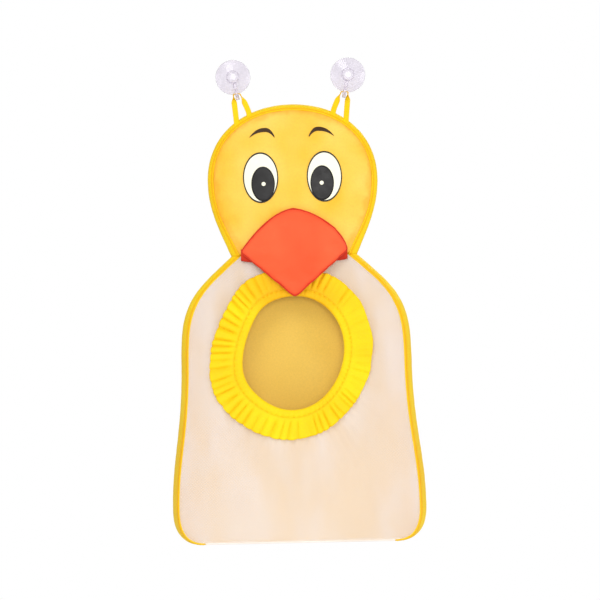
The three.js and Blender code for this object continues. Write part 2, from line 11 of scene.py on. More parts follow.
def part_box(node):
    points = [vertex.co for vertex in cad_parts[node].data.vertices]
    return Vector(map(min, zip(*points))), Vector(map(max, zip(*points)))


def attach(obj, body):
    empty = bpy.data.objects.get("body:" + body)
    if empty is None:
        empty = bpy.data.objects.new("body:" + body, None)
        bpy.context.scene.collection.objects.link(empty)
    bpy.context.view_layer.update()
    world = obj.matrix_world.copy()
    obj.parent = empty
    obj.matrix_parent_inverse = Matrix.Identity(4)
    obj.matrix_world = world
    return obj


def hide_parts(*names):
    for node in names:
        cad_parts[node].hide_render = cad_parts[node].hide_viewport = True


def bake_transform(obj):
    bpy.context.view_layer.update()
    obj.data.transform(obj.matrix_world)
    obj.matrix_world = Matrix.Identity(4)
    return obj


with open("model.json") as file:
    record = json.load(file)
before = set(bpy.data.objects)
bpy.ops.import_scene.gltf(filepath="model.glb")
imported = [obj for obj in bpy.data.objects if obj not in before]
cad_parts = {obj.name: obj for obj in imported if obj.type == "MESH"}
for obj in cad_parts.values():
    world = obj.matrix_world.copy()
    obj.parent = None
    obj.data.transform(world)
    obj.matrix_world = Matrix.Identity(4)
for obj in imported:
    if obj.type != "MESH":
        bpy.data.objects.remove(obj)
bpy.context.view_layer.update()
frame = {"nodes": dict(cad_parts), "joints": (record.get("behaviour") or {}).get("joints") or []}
nodes = frame["nodes"]
joints = {joint["name"]: joint for joint in frame["joints"]}
scene = bpy.context.scene


# Camera and light, and the floor's values

studio = {
    "cameraDistance": 5.0,
    "pictureWidth": 0.6864,       # what the picture spans at the bag
    "aim": (0.0055, -0.02, -0.2573),
    "roll": 1.25,                 # degrees, the bag hangs a little askew
    "filmWidth": 36.0,
    "floorDrop": 0.22,
    "floorRadius": 1.3,
    "floorColour": (236, 234, 230),
    "skyStrength": 0.56,
    "softBoxes": {                # place, width and power
        "key light": ((-0.7, -1.7, 1.75), 1.3, 19.0),
        "front light": ((0.3, -5.4, 0.1), 2.6, 104.0),
        "right light": ((2.1, -0.9, -0.2), 1.5, 15.0),
        "left light": ((-2.1, -0.9, -0.4), 1.5, 7.5),
        "rear light": ((0.4, 2.0, 0.9), 1.6, 26.0),
    },
}
white = (1, 1, 1, 1)


def fromScreen(colour):
    parts = [value / 255 for value in colour]
    linear = [v / 12.92 if v <= 0.04045 else ((v + 0.055) / 1.055) ** 2.4 for v in parts]
    return (*linear, 1.0)


def inScene(name, data):
    holder = bpy.data.objects.new(name, data)
    scene.collection.objects.link(holder)
    return holder


def setUpCamera():
    camera = inScene("camera", bpy.data.cameras.new("camera"))
    camera.data.sensor_width = studio["filmWidth"]
    camera.data.lens = studio["filmWidth"] * studio["cameraDistance"] / studio["pictureWidth"]
    place = Matrix.Translation(Vector(studio["aim"]) - Vector((0, studio["cameraDistance"], 0)))
    level = Matrix.Rotation(radians(90), 4, "X")
    camera.matrix_world = place @ level @ Matrix.Rotation(-radians(studio["roll"]), 4, "Z")
    scene.camera = camera


def addSoftBox(name, place, size, power):
    lamp = bpy.data.lights.new(name, "AREA")
    lamp.shape = "DISK"
    lamp.size = size
    lamp.energy = power
    holder = inScene(name, lamp)
    holder.location = place
    holder.rotation_euler = (Vector(studio["aim"]) - Vector(place)).to_track_quat("-Z", "Y").to_euler()
    holder.visible_camera = False
    holder.visible_transmission = False


def setUpLight():
    world = bpy.data.worlds.new("white room")
    scene.world = world
    world.use_nodes = True
    tree = world.node_tree
    glow = tree.nodes["Background"]
    feed(glow, {"Color": white, "Strength": studio["skyStrength"]})
    seen = addNode(tree, "Background", {"Color": white})
    path = addNode(tree, "LightPath").outputs
    direct = calculate(tree, "MAXIMUM", path["Is Camera Ray"], path["Is Transmission Ray"])
    room = addNode(tree, "MixShader", {0: direct, 1: glow.outputs[0], 2: seen.outputs[0]})
    feed(tree.nodes["World Output"], {"Surface": room.outputs[0]})
    for name, (place, size, power) in studio["softBoxes"].items():
        addSoftBox(name, place, size, power)
    scene.view_settings.view_transform = "Standard"


# Small tools for materials


def newMaterial(name):
    material = bpy.data.materials.new(name)
    material.use_nodes = True
    return material, material.node_tree, material.node_tree.nodes["Principled BSDF"]


# Sets plain values on a node's sockets, and links what another node gives
def feed(node, inputs):
    for key, value in inputs.items():
        if isinstance(value, bpy.types.NodeSocket):
            node.id_data.links.new(value, node.inputs[key])
        else:
            node.inputs[key].default_value = value


def addNode(tree, kind, inputs=None, **settings):
    node = tree.nodes.new("ShaderNode" + kind)
    for key, value in settings.items():
        setattr(node, key, value)
    feed(node, inputs or {})
    return node


def calculate(tree, operation, first, second):
    return addNode(tree, "Math", {0: first, 1: second}, operation=operation).outputs[0]


def mixColours(tree, factor, first, second, blend="MIX"):
    colours = {0: factor, 6: first, 7: second}
    return addNode(tree, "Mix", colours, data_type="RGBA", blend_type=blend).outputs[2]


def mapRange(tree, value, low, high, newLow, newHigh):
    return addNode(tree, "MapRange", {0: value, 1: low, 2: high, 3: newLow, 4: newHigh}).outputs[0]


def noiseAt(tree, place, size, detail=2.0):
    return addNode(tree, "TexNoise", {"Vector": place, "Scale": 1 / size, "Detail": detail}).outputs[0]


# The middle of a noise, stretched between two values
def spreadNoise(tree, value, low, high):
    return mapRange(tree, value, 0.3, 0.7, low, high)


def threadWave(tree, place, direction, pitch):
    place = {"Vector": place, "Scale": tau / (20 * pitch)}
    return addNode(tree, "TexWave", place, bands_direction=direction).outputs["Fac"]


def bumpFrom(tree, height, strength, distance):
    return addNode(tree, "Bump", {"Height": height, "Strength": strength, "Distance": distance}).outputs[0]


def solidPlace(tree):
    return addNode(tree, "TexCoord").outputs["Object"]


def turnedPlace(tree, place, turn):
    angles = [radians(angle) for angle in turn]
    return addNode(tree, "Mapping", {"Vector": place, "Rotation": angles}).outputs["Vector"]


def clothPlace(tree, onMap):
    if onMap:
        return addNode(tree, "UVMap", uv_map="threads").outputs["UV"]
    return turnedPlace(tree, solidPlace(tree), (90, 0, 0))


def fromDeepToPale(tree, factor, finish):
    return mixColours(tree, factor, fromScreen(finish["deep"]), fromScreen(finish["pale"]))


# The seam colour is painted shade, mixed in where the seamShade attribute asks for it: along seams, in
# creases and folds and under the beak
def withPaintedShade(tree, base, finish):
    shade = addNode(tree, "Attribute", attribute_name="seamShade").outputs["Fac"]
    return mixColours(tree, shade, base, fromScreen(finish["seam"]))


# Woven cloth: crossing threads in the bump, slow changes of colour, and painted shade mixed in along the
# seams, in creases and under the beak
def makeCloth(name, finish):
    material, tree, shader = newMaterial(name)
    pitch, rough = finish["pitch"], finish["roughness"]
    place = clothPlace(tree, finish["onMap"])
    squares = addNode(tree, "TexChecker", {"Vector": place, "Scale": 1 / pitch}).outputs["Fac"]
    over = calculate(tree, "MULTIPLY", threadWave(tree, place, "X", pitch), squares)
    between = calculate(tree, "SUBTRACT", 1.0, squares)
    under = calculate(tree, "MULTIPLY", threadWave(tree, place, "Y", pitch), between)
    weave = calculate(tree, "ADD", over, under)
    solid = solidPlace(tree)
    drift = spreadNoise(tree, noiseAt(tree, solid, finish["driftSize"]), 0, 1)
    fibre = noiseAt(tree, solid, pitch * 2.5, 4.0)
    base = fromDeepToPale(tree, drift, finish)
    base = mixColours(tree, 1.0, base, mapRange(tree, weave, 0, 1, finish["threadShade"], 1.0), "MULTIPLY")
    base = mixColours(tree, 1.0, base, spreadNoise(tree, fibre, 0.95, 1.03), "MULTIPLY")
    threads = calculate(tree, "MULTIPLY", weave, 0.35)
    crumple = calculate(tree, "MULTIPLY", noiseAt(tree, solid, finish["crumpleSize"], 3.0), 2.0)
    feed(shader, {
        "Base Color": withPaintedShade(tree, base, finish),
        "Roughness": spreadNoise(tree, fibre, rough - 0.08, rough + 0.08),
        "Normal": bumpFrom(tree, calculate(tree, "ADD", threads, crumple), finish["bump"], 0.0006),
        "Sheen Weight": finish["sheen"],
        "Sheen Roughness": 0.45,
        "Specular IOR Level": 0.2,
    })
    return material


# Fine knitted net: crossing diagonal threads with small open holes
def makeNet(name, finish):
    material, tree, shader = newMaterial(name)
    place = turnedPlace(tree, clothPlace(tree, True), (0, 0, 45))
    one = threadWave(tree, place, "X", finish["pitch"])
    other = threadWave(tree, place, "Y", finish["pitch"])
    thread = mapRange(tree, calculate(tree, "MAXIMUM", one, other), 0.55, 0.9, 0, 1)
    drift = noiseAt(tree, solidPlace(tree), finish["driftSize"])
    feed(shader, {
        "Base Color": withPaintedShade(tree, fromDeepToPale(tree, drift, finish), finish),
        "Alpha": mapRange(tree, thread, 0, 1, finish["holeCover"], finish["threadCover"]),
        "Normal": bumpFrom(tree, thread, 0.5, 0.0004),
        "Roughness": spreadNoise(tree, drift, 0.5, 0.7),
        "Sheen Weight": 0.2,
    })
    return material


# Soft clear plastic with a faint haze and moulding ripples
def makeClear(name, finish):
    material, tree, shader = newMaterial(name)
    solid = solidPlace(tree)
    haze = noiseAt(tree, solid, 0.012, 3.0)
    feed(shader, {
        "Base Color": fromDeepToPale(tree, haze, finish),
        "Roughness": spreadNoise(tree, haze, finish["roughness"] * 0.6, finish["roughness"] * 1.5),
        "Normal": bumpFrom(tree, noiseAt(tree, solid, 0.006), 0.02, 0.0005),
        "Transmission Weight": finish["clearness"],
        "IOR": 1.46,
    })
    return material


# Heat-pressed film with the cloth's grain just showing through
def makeFilm(name, finish):
    material, tree, shader = newMaterial(name)
    drift = noiseAt(tree, solidPlace(tree), 0.009, 3.0)
    place = clothPlace(tree, False)
    pitch, rough = finishes["goldPad"]["pitch"], finish["roughness"]
    warp, weft = threadWave(tree, place, "X", pitch), threadWave(tree, place, "Y", pitch)
    feed(shader, {
        "Base Color": fromDeepToPale(tree, drift, finish),
        "Roughness": spreadNoise(tree, drift, rough - 0.06, rough + 0.06),
        "Normal": bumpFrom(tree, calculate(tree, "MULTIPLY", warp, weft), 0.12, 0.0004),
        "Specular IOR Level": 0.3,
    })
    return material


plainCloth = {"onMap": True, "pitch": 0.0008, "threadShade": 0.94, "driftSize": 0.05, "crumpleSize": 0.012,
              "roughness": 0.65, "bump": 0.3, "sheen": 0.15}
# Each cloth's seam colour is its painted shade
finishes = {
    "goldPad": {**plainCloth, "slot": "gold_cloth", "deep": (247, 190, 52), "pale": (254, 214, 104),
                "seam": (238, 156, 24), "onMap": False, "pitch": 0.0009, "threadShade": 0.95,
                "driftSize": 0.07, "crumpleSize": 0.02, "roughness": 0.62},
    "yellowBand": {**plainCloth, "slot": "yellow_cloth", "deep": (244, 200, 6), "pale": (250, 214, 18),
                   "seam": (240, 156, 6), "driftSize": 0.07, "sheen": 0.02},
    "yellowPanel": {**plainCloth, "slot": "yellow_cloth", "deep": (232, 190, 80), "pale": (240, 201, 96),
                    "seam": (236, 178, 38), "threadShade": 0.93, "driftSize": 0.1, "crumpleSize": 0.018,
                    "roughness": 0.66},
    "frillYellow": {**plainCloth, "slot": "frill_cloth", "deep": (246, 204, 2), "pale": (251, 220, 6),
                    "seam": (238, 172, 2), "pitch": 0.0007, "threadShade": 0.95, "crumpleSize": 0.008,
                    "roughness": 0.55, "bump": 0.22, "sheen": 0.08},
    "beakRed": {**plainCloth, "slot": "red_cloth", "deep": (248, 88, 46), "pale": (252, 104, 60),
                "seam": (222, 58, 28), "onMap": False, "pitch": 0.0009, "driftSize": 0.06,
                "crumpleSize": 0.016, "roughness": 0.6, "sheen": 0.2},
    "darkRed": {**plainCloth, "slot": "dark_red_cloth", "deep": (204, 44, 16), "pale": (218, 56, 24),
                "seam": (178, 34, 12), "threadShade": 0.92, "driftSize": 0.04},
    "whiteTape": {**plainCloth, "slot": "white_net", "deep": (240, 228, 216), "pale": (250, 242, 234),
                  "seam": (240, 226, 212), "pitch": 0.0007, "threadShade": 0.92, "crumpleSize": 0.01,
                  "sheen": 0.2},
    "whiteNet": {"slot": "white_net", "deep": (252, 240, 234), "pale": (255, 248, 245),
                 "seam": (250, 226, 196), "pitch": 0.0012, "driftSize": 0.06, "holeCover": 0.26,
                 "threadCover": 0.9},
    "clearPlastic": {"slot": "clear_plastic", "deep": (231, 225, 236), "pale": (244, 239, 247),
                     "roughness": 0.15, "clearness": 0.8},
    "whiteFilm": {"slot": "white_film", "deep": (245, 242, 214), "pale": (251, 249, 228), "roughness": 0.42},
    "darkFilm": {"slot": "dark_film", "deep": (12, 10, 10), "pale": (22, 19, 18), "roughness": 0.4},
    "brownFilm": {"slot": "brown_film", "deep": (44, 25, 2), "pale": (70, 44, 4), "roughness": 0.5},
}
makers = {"whiteNet": makeNet, "clearPlastic": makeClear, "whiteFilm": makeFilm, "darkFilm": makeFilm,
          "brownFilm": makeFilm}
materials = {name: makers.get(name, makeCloth)(name, finish) for name, finish in finishes.items()}
print("materials made:", len(materials))


# Small tools for shapes


def blendOf(first, second, share):
    return first + (second - first) * share


def clamp(value, low=0.0, high=1.0):
    return max(low, min(high, value))


def softStep(share):
    share = clamp(share)
    return share * share * (3 - 2 * share)


def wrinkle(x, y, z=0.0):
    return noise.noise(Vector((x, y, z)))


def roundTurn(count):
    return [tau * k / count for k in range(count)]


def shares(count):
    return [k / (count - 1) for k in range(count)]


def fromSideToSide(count):
    return [2 * k / (count - 1) - 1 for k in range(count)]


def marksAlong(points):
    marks = [0.0]
    for a, b in zip(points, points[1:]):
        marks.append(marks[-1] + (b - a).length)
    return marks


# The stretch of a run that a length falls on, and the share of it
def findMark(marks, length):
    k = min(bisect_left(marks, length, 1), len(marks) - 1) - 1
    return k, clamp((length - marks[k]) / max(marks[k + 1] - marks[k], 1e-12))


def waysAlong(line, closed=False):
    before = (line[-1:] if closed else line[:1]) + line[:-1]
    after = line[1:] + (line[:1] if closed else line[-1:])
    return [(b - a).normalized() for a, b in zip(before, after)]


def curveThrough(points, closed=False, steps=10):
    count = len(points)
    dense = []
    for i in range(count if closed else count - 1):
        around = [i + k for k in (-1, 0, 1, 2)]
        a, b, c, d = (points[k % count if closed else max(0, min(count - 1, k))] for k in around)
        for step in range(steps):
            t = step / steps
            bend = (c - a) * t + (2 * a - 5 * b + 4 * c - d) * t * t + (3 * b - a - 3 * c + d) * t ** 3
            dense.append(b + bend * 0.5)
    dense.append((points[0] if closed else points[-1]).copy())
    return dense


def evenly(points, count, closed=False):
    dense = curveThrough([Vector(p) for p in points], closed)
    marks = marksAlong(dense)
    spaced = []
    for i in range(count):
        k, share = findMark(marks, marks[-1] * i / (count if closed else count - 1))
        spaced.append(dense[k].lerp(dense[k + 1], share))
    return spaced


def bezierRun(corners, count):
    a, b, c, d = (Vector(p) for p in corners)
    run = []
    for t in shares(count):
        u = 1 - t
        run.append(a * u ** 3 + b * 3 * u * u * t + c * 3 * u * t * t + d * t ** 3)
    return run


def mirrored(points):
    return [Vector((-p[0], p[1])) for p in reversed(points)]


def inFront(spot, depth):
    return Vector((spot[0], -depth, spot[1]))


def giveFinish(piece, finish):
    piece.data.materials.clear()
    piece.data.materials.append(materials[finish])
    piece.data.shade_smooth()


def addPiece(name, mesh, finish):
    piece = inScene(name, mesh)
    giveFinish(piece, finish)
    return piece


def sewTo(body, piece, *replaced):
    if replaced:
        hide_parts(*replaced)
    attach(piece, body)
    return piece


# A mesh from rows of points, with a map in metres that the weave follows
def gridMesh(name, rows, closedRound=False, closedAcross=False, shade=None):
    high, wide = len(rows), len(rows[0])
    along = marksAlong([row[wide // 2] for row in rows + rows[:1]])
    across = marksAlong(rows[high // 2] + rows[high // 2][:1])
    faces, threads = [], []
    for i in range(high if closedRound else high - 1):
        for j in range(wide if closedAcross else wide - 1):
            corners = ((i, j), (i + 1, j), (i + 1, j + 1), (i, j + 1))
            faces.append([a % high * wide + b % wide for a, b in corners])
            for a, b in corners:
                threads += (along[a], across[b])
    mesh = bpy.data.meshes.new(name)
    mesh.from_pydata([p for row in rows for p in row], [], faces)
    mesh.uv_layers.new(name="threads").data.foreach_set("uv", threads)
    tint = mesh.attributes.new("seamShade", "FLOAT", "POINT")
    if shade:
        tint.data.foreach_set("value", [shade(i, j) for i in range(high) for j in range(wide)])
    mesh.update()
    return mesh


@contextmanager
def editing(mesh):
    work = bmesh.new()
    work.from_mesh(mesh)
    yield work
    work.to_mesh(mesh)
    work.free()


def turnOutward(mesh, fill=False):
    with editing(mesh) as work:
        bmesh.ops.remove_doubles(work, verts=work.verts, dist=1e-6)
        if fill:
            bmesh.ops.holes_fill(work, edges=[e for e in work.edges if e.is_boundary], sides=0)
        bmesh.ops.recalc_face_normals(work, faces=work.faces)
    return mesh


def closedMesh(name, rows, **how):
    return turnOutward(gridMesh(name, rows, **how), fill=True)


# A sheet of cloth with a thickness, sewn to the bag
def addSheet(name, mesh, finish, thickness, *replaced):
    piece = addPiece(name, mesh, finish)
    layer = piece.modifiers.new("cloth thickness", "SOLIDIFY")
    layer.thickness = thickness
    layer.offset = 0.0
    layer.use_rim = True
    return sewTo("bag", piece, *replaced)


def tubeRows(path, radius, closed=False):
    rows = []
    for i, (spot, way) in enumerate(zip(path, waysAlong(path, closed))):
        side = way.cross(Vector((0, 1, 0))).normalized()
        up = side.cross(way).normalized()
        size = radius(i / (len(path) - 1)) if callable(radius) else radius
        side, up = side * size, up * size
        rows.append([spot + side * cos(a) + up * sin(a) for a in roundTurn(8)])
    return rows


# A round bead along a path, such as a turned seam edge
def addBead(name, path, radius, finish, tint=0.0):
    mesh = closedMesh(name, tubeRows(path, radius), closedAcross=True, shade=lambda i, j: tint)
    sewTo("bag", addPiece(name, mesh, finish))


# A run of sewn stitches: short bowed threads that dip into the cloth at both ends
def stitchMesh(name, path, lifts, sewing):
    marks = marksAlong(path)

    def spotAt(length):
        k, share = findMark(marks, length)
        return path[k].lerp(path[k + 1], share), lifts[k].lerp(lifts[k + 1], share).normalized()

    points, faces = [], []
    sides, bends = 5, 5
    count = max(1, round(marks[-1] / sewing["pitch"]))
    for n in range(count):
        start = len(points)
        middle = (n + 0.5) * marks[-1] / count
        for share in shares(bends):
            spot, lift = spotAt(middle + (share - 0.5) * sewing["length"])
            ahead, _ = spotAt(middle + (share - 0.4) * sewing["length"])
            side = (ahead - spot).normalized().cross(lift).normalized()
            bow = sin(pi * share)
            rise = sewing["radius"] * (1.6 * bow - 0.7)
            size = sewing["radius"] * (0.55 + 0.45 * bow)
            for angle in roundTurn(sides):
                points.append(spot + lift * (rise + size * sin(angle)) + side * (size * cos(angle)))
        for a in range(start, start + (bends - 1) * sides, sides):
            for k in range(sides):
                m = (k + 1) % sides
                faces.append((a + k, a + m, a + m + sides, a + k + sides))
        faces.append([start + k for k in reversed(range(sides))])
        faces.append([start + (bends - 1) * sides + k for k in range(sides)])
    mesh = bpy.data.meshes.new(name)
    mesh.from_pydata(points, [], faces)
    mesh.uv_layers.new(name="threads")
    mesh.attributes.new("seamShade", "FLOAT", "POINT")
    mesh.update()
    return mesh


def addStitches(name, path, lifts, sewing, finish):
    sewTo("bag", addPiece(name, stitchMesh(name, path, lifts, sewing), finish))


# Even quads over a closed shape, ready to swell
def remeshed(piece, voxel, smoothing):
    layer = piece.modifiers.new("even quads", "REMESH")
    layer.mode = "VOXEL"
    layer.voxel_size = voxel
    graph = bpy.context.evaluated_depsgraph_get()
    mesh = bpy.data.meshes.new_from_object(piece.evaluated_get(graph))
    piece.modifiers.clear()
    with editing(mesh) as work:
        for _ in range(smoothing):
            bmesh.ops.smooth_vert(work, verts=work.verts, factor=0.5, use_axis_x=True, use_axis_y=True,
                                  use_axis_z=True)
    piece.data = mesh


# Lets a padded piece swell under its filling, held where it is sewn, and caps how far it goes
def swell(piece, isSewn, filling):
    rest = [v.co.copy() for v in piece.data.vertices]
    sewn = piece.vertex_groups.new(name="sewn")
    sewn.add([i for i, spot in enumerate(rest) if isSewn(spot)], 1.0, "REPLACE")
    cloth = piece.modifiers.new("filling", "CLOTH")
    cover = {"quality": 6, "mass": 0.2, "tension_stiffness": 15, "compression_stiffness": 15,
             "bending_stiffness": filling["bending"], "use_pressure": True,
             "uniform_pressure_force": filling["pressure"], "shrink_min": -filling["spareCloth"],
             "vertex_group_mass": "sewn"}
    for key, value in cover.items():
        setattr(cloth.settings, key, value)
    cloth.settings.effector_weights.gravity = 0
    cloth.collision_settings.use_collision = False
    cloth.point_cache.frame_start = 1
    cloth.point_cache.frame_end = filling["frames"]
    for step in range(1, filling["frames"] + 1):
        scene.frame_set(step)
    graph = bpy.context.evaluated_depsgraph_get()
    swollen = [v.co.copy() for v in piece.evaluated_get(graph).data.vertices]
    piece.modifiers.remove(cloth)
    piece.vertex_groups.clear()
    for vertex, before, after in zip(piece.data.vertices, rest, swollen):
        move = after - before
        if move.length > filling["cap"]:
            move = move.normalized() * filling["cap"]
        vertex.co = before + move
    scene.frame_set(1)
    piece.data.update()


# Painted shade that deepens towards a seam
def paintedSeamShadeAt(piece, distance):
    return piece["seamTint"] * softStep(1 - distance / piece["seamReach"])


# A stuffed cushion: even quads, swollen by its filling, with painted shade along its seam
def makePad(name, rows, finish, pad, isSewn, fromSeam, pucker=None):
    piece = addPiece(name, closedMesh(name, rows, closedAcross=True), finish)
    remeshed(piece, pad["voxel"], pad["smoothing"])
    swell(piece, isSewn, pad["filling"])
    if pucker:
        pucker(piece)
    tint = piece.data.attributes.get("seamShade")
    tint = tint or piece.data.attributes.new("seamShade", "FLOAT", "POINT")
    tint.data.foreach_set("value", [paintedSeamShadeAt(pad, fromSeam(v.co)) for v in piece.data.vertices])
    giveFinish(piece, finish)
    layer = piece.modifiers.new("soften", "SUBSURF")
    layer.levels = 1
    layer.render_levels = 1
    return piece


def surfaceOf(piece):
    graph = bpy.context.evaluated_depsgraph_get()
    graph.update()
    return BVHTree.FromObject(piece, graph)


def depthOn(surface, x, z, otherwise):
    hit = surface.ray_cast(Vector((x, -0.3, z)), Vector((0, 1, 0)))
    return -hit[0].y if hit[0] else otherwise


# The bag's outlines, read from the frame

neckZ = (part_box("head_gusset")[0].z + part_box("right_gusset")[1].z) / 2
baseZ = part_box("base_panel")[0].z
headDepth = -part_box("head_gusset")[0].y
baseDepth = -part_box("right_gusset")[0].y


def seamDepth(z):
    share = clamp((neckZ - z) / (neckZ - baseZ))
    return headDepth + (baseDepth - headDepth) * sin(share * pi / 2)


def rightRim(node, keep):
    rim = {}
    for vertex in nodes[node].data.vertices:
        x, y, z = vertex.co
        key = round(z, 5)
        if x > -1e-6 and keep(-y, z) and x > rim.get(key, (-1, 0))[0]:
            rim[key] = (x, z)
    return [Vector(rim[key]) for key in sorted(rim, reverse=True)]


# How near to a seam, or to the neck, a point of the frame's solids is taken
rimReach = {"cover": 0.0014, "net": 0.0013, "neck": 0.001, "aboveNeck": 0.02}
backRim = rightRim("back_panel", lambda depth, z: True)
headBack = [p for p in backRim if p[1] > neckZ]
pouchBack = [p for p in backRim if p[1] < neckZ]
coverRim = -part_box("head_cover")[1].y
headFront = rightRim("head_cover", lambda depth, z: depth < coverRim + rimReach["cover"])
neckFront = max(p[0] for p in headFront if p[1] < neckZ + rimReach["neck"])
headFront = [p for p in headFront if p[0] >= neckFront or p[1] > neckZ + rimReach["aboveNeck"]]
pouchFront = rightRim("front_net", lambda depth, z: depth < seamDepth(z) + rimReach["net"])
headMiddle = Vector((0, max(nodes["head_cover"].data.vertices, key=lambda v: -v.co.y).co.z))

# The filling pushes the front seams out over the side strips
spread = {"head": 0.05, "pouch": 0.018, "neckRun": 0.05}


def pushedOut(p):
    share = softStep((p[1] - neckZ) / spread["neckRun"])
    wider = blendOf(spread["pouch"], spread["head"], share)
    return Vector((p[0] * (1 + wider), p[1] + max(p[1] - headMiddle[1], 0) * wider))


headFront = [pushedOut(p) for p in headFront]
pouchFront = [pushedOut(p) for p in pouchFront]
neckFront *= 1 + spread["pouch"]
print("outline points:", len(headBack), len(pouchBack), len(headFront), len(pouchFront))

setUpCamera()
setUpLight()


# Floor, not part of the bag
def makeFloor():
    drop = studio["floorDrop"] - baseZ
    rows = []
    for share in shares(9):
        radius = studio["floorRadius"] * share + 0.001
        rows.append([Vector((radius * cos(a), radius * sin(a), -drop)) for a in roundTurn(64)])
    mesh = gridMesh("floor", rows, closedAcross=True)
    material, tree, shader = newMaterial("pale floor")
    colours = {"pale": studio["floorColour"], "deep": [value - 6 for value in studio["floorColour"]]}
    drift = noiseAt(tree, solidPlace(tree), 0.3)
    feed(shader, {"Base Color": fromDeepToPale(tree, drift, colours), "Roughness": 0.7})
    mesh.materials.append(material)
    inScene("floor", mesh)


makeFloor()
print("studio ready")


# Back panel: one hanging sheet with soft folds and a turned hem

backCloth = {
    "thickness": 0.0009,
    "rest": 0.0007,            # how far its middle stands off the wall
    "foldDepth": 0.0022,
    "foldSpacing": 0.05,
    "creaseWidth": 0.018,
    "creaseLength": 0.03,
    "hem": 0.006,
    "hemTint": 0.35,
    "hemStart": 0.93,          # share of the half width where the tint sets in
    "cutShare": 0.8,           # of the rectangle that it is cut from
    "stitchDepth": 0.0001,
    "columns": 35,
    "headRows": 50,
    "pouchRows": 100,
    "hemSteps": 420,
    "stitch": {"pitch": 0.0034, "length": 0.0027, "radius": 0.00028},
}


def backDepth(x, z, edge):
    calm = softStep((1 - edge) * 5)
    fold = 0.5 + 0.5 * wrinkle(x / backCloth["foldSpacing"], z / (backCloth["foldSpacing"] * 3.5), 2.1)
    crease = 0.5 + 0.5 * wrinkle(x / backCloth["creaseWidth"], z / backCloth["creaseLength"], 7.7)
    return backCloth["rest"] + calm * backCloth["foldDepth"] * (0.8 * fold + 0.2 * crease)


def hemTint(share):
    start = backCloth["hemStart"]
    return backCloth["hemTint"] * softStep((abs(share) - start) / (1 - start))


def makeBackPanel():
    run = evenly(headBack, backCloth["headRows"])[1:] + evenly(pouchBack, backCloth["pouchRows"])
    across = [copysign(1 - (1 - abs(s)) ** 1.3, s) for s in fromSideToSide(backCloth["columns"])]
    rows = []
    for x, z in run:
        rows.append([inFront((x * s, z), backDepth(x * s, z, abs(s))) for s in across])
    mesh = gridMesh("backPanel", rows, shade=lambda i, j: hemTint(across[j]))
    piece = addSheet("backPanel", turnOutward(mesh), "yellowPanel", backCloth["thickness"], "back_panel")
    rim = evenly(mirrored(run) + run, backCloth["hemSteps"])
    path = []
    for before, after in zip(rim, rim[2:]):
        way = (after - before).normalized()
        inward = (before + after) / 2 + Vector((way[1], -way[0])) * backCloth["hem"]
        path.append(inFront(inward, backCloth["stitchDepth"]))
    addStitches("backStitches", path, [Vector((0, 1, 0))] * len(path), backCloth["stitch"], "yellowBand")


makeBackPanel()
print("back panel hung")


# Side bands round the head and down both sides of the pouch

band = {
    "thickness": 0.0011,
    "backDepth": 0.0012,
    "bulge": 0.0014,
    "pucker": 0.0007,
    "puckerSpacing": 0.007,
    # painted shade along the band's front seam
    "seamTint": 0.85,
    "beadRadius": 0.001,
    "beadTint": 0.15,
    "beadStand": 0.0002,
    "steps": 9,
    "headSteps": 170,
    "sideSteps": 150,
    "neckSteps": 61,
    "stitch": {"pitch": 0.0033, "length": 0.0026, "radius": 0.00027},
}


def bandRows(back, front):
    rows, outs = [], []
    gap = band["puckerSpacing"]
    for rear, near, way in zip(back, front, waysAlong(back)):
        out = Vector((-way[1], way[0]))
        if out.dot(rear - near) < 0:
            out = -out
        row = []
        for share in shares(band["steps"]):
            spot = rear.lerp(near, share)
            crimp = wrinkle(spot[0] / gap, spot[1] / gap, share * 1.5) * (0.35 + 0.65 * abs(2 * share - 1))
            middle = sin(pi * share)
            lift = band["bulge"] * middle + band["pucker"] * crimp * max(middle, 0.25)
            row.append(inFront(spot + out * lift, blendOf(band["backDepth"], seamDepth(near[1]), share)))
        rows.append(row)
        outs.append(out)
    return rows, outs


# Painted shade in the groove at the band's front seam
def bandPaintedShade(i, j):
    share = j / (band["steps"] - 1)
    return band["seamTint"] * softStep((share - 0.7) / 0.3)


def addEdge(name, path):
    def size(share):
        return band["beadRadius"] * (0.95 + 0.12 * wrinkle(share * 60, len(path), 0.4))

    addBead(name, path, size, "yellowBand", band["beadTint"])


def makeBand(name, back, front, count, replaced):
    backLine, frontLine = evenly(back, count), evenly(front, count)
    rows, outs = bandRows(backLine, frontLine)
    mesh = gridMesh(name, rows, shade=bandPaintedShade)
    piece = addSheet(name, mesh, "yellowBand", band["thickness"], replaced)
    inner = [p - out * band["beadRadius"] for p, out in zip(backLine, outs)]
    addEdge(name + "BackEdge", [inFront(p, band["backDepth"]) for p in inner])
    addEdge(name + "FrontEdge", [inFront(p, seamDepth(p[1]) + band["beadStand"]) for p in frontLine])
    path, lifts = [], []
    for row, out, along in zip(rows, outs, waysAlong([row[-2] for row in rows])):
        lift = (row[-1] - row[-3]).cross(along).normalized()
        if lift.dot(inFront(out, 0)) < 0:
            lift = -lift
        path.append(row[-2].lerp(row[-3], 0.3) + lift * (band["thickness"] / 2))
        lifts.append(lift)
    addStitches(name + "Stitches", path, lifts, band["stitch"], "yellowBand")


def makeNeckSeam():
    depth = headDepth - band["beadRadius"] / 2
    addEdge("neckSeam", [inFront((neckFront * s, neckZ), depth) for s in fromSideToSide(band["neckSteps"])])


headSides = [mirrored(side) + side[1:] for side in (headBack, headFront)]
leftSides = [mirrored(side)[::-1] for side in (pouchBack, pouchFront)]
makeBand("headBand", *headSides, band["headSteps"], "head_gusset")
makeBand("rightBand", pouchBack, pouchFront, band["sideSteps"], "right_gusset")
makeBand("leftBand", *leftSides, band["sideSteps"], "left_gusset")
makeNeckSeam()
print("side bands sewn")


# Head: a golden padded cushion, swollen by its filling

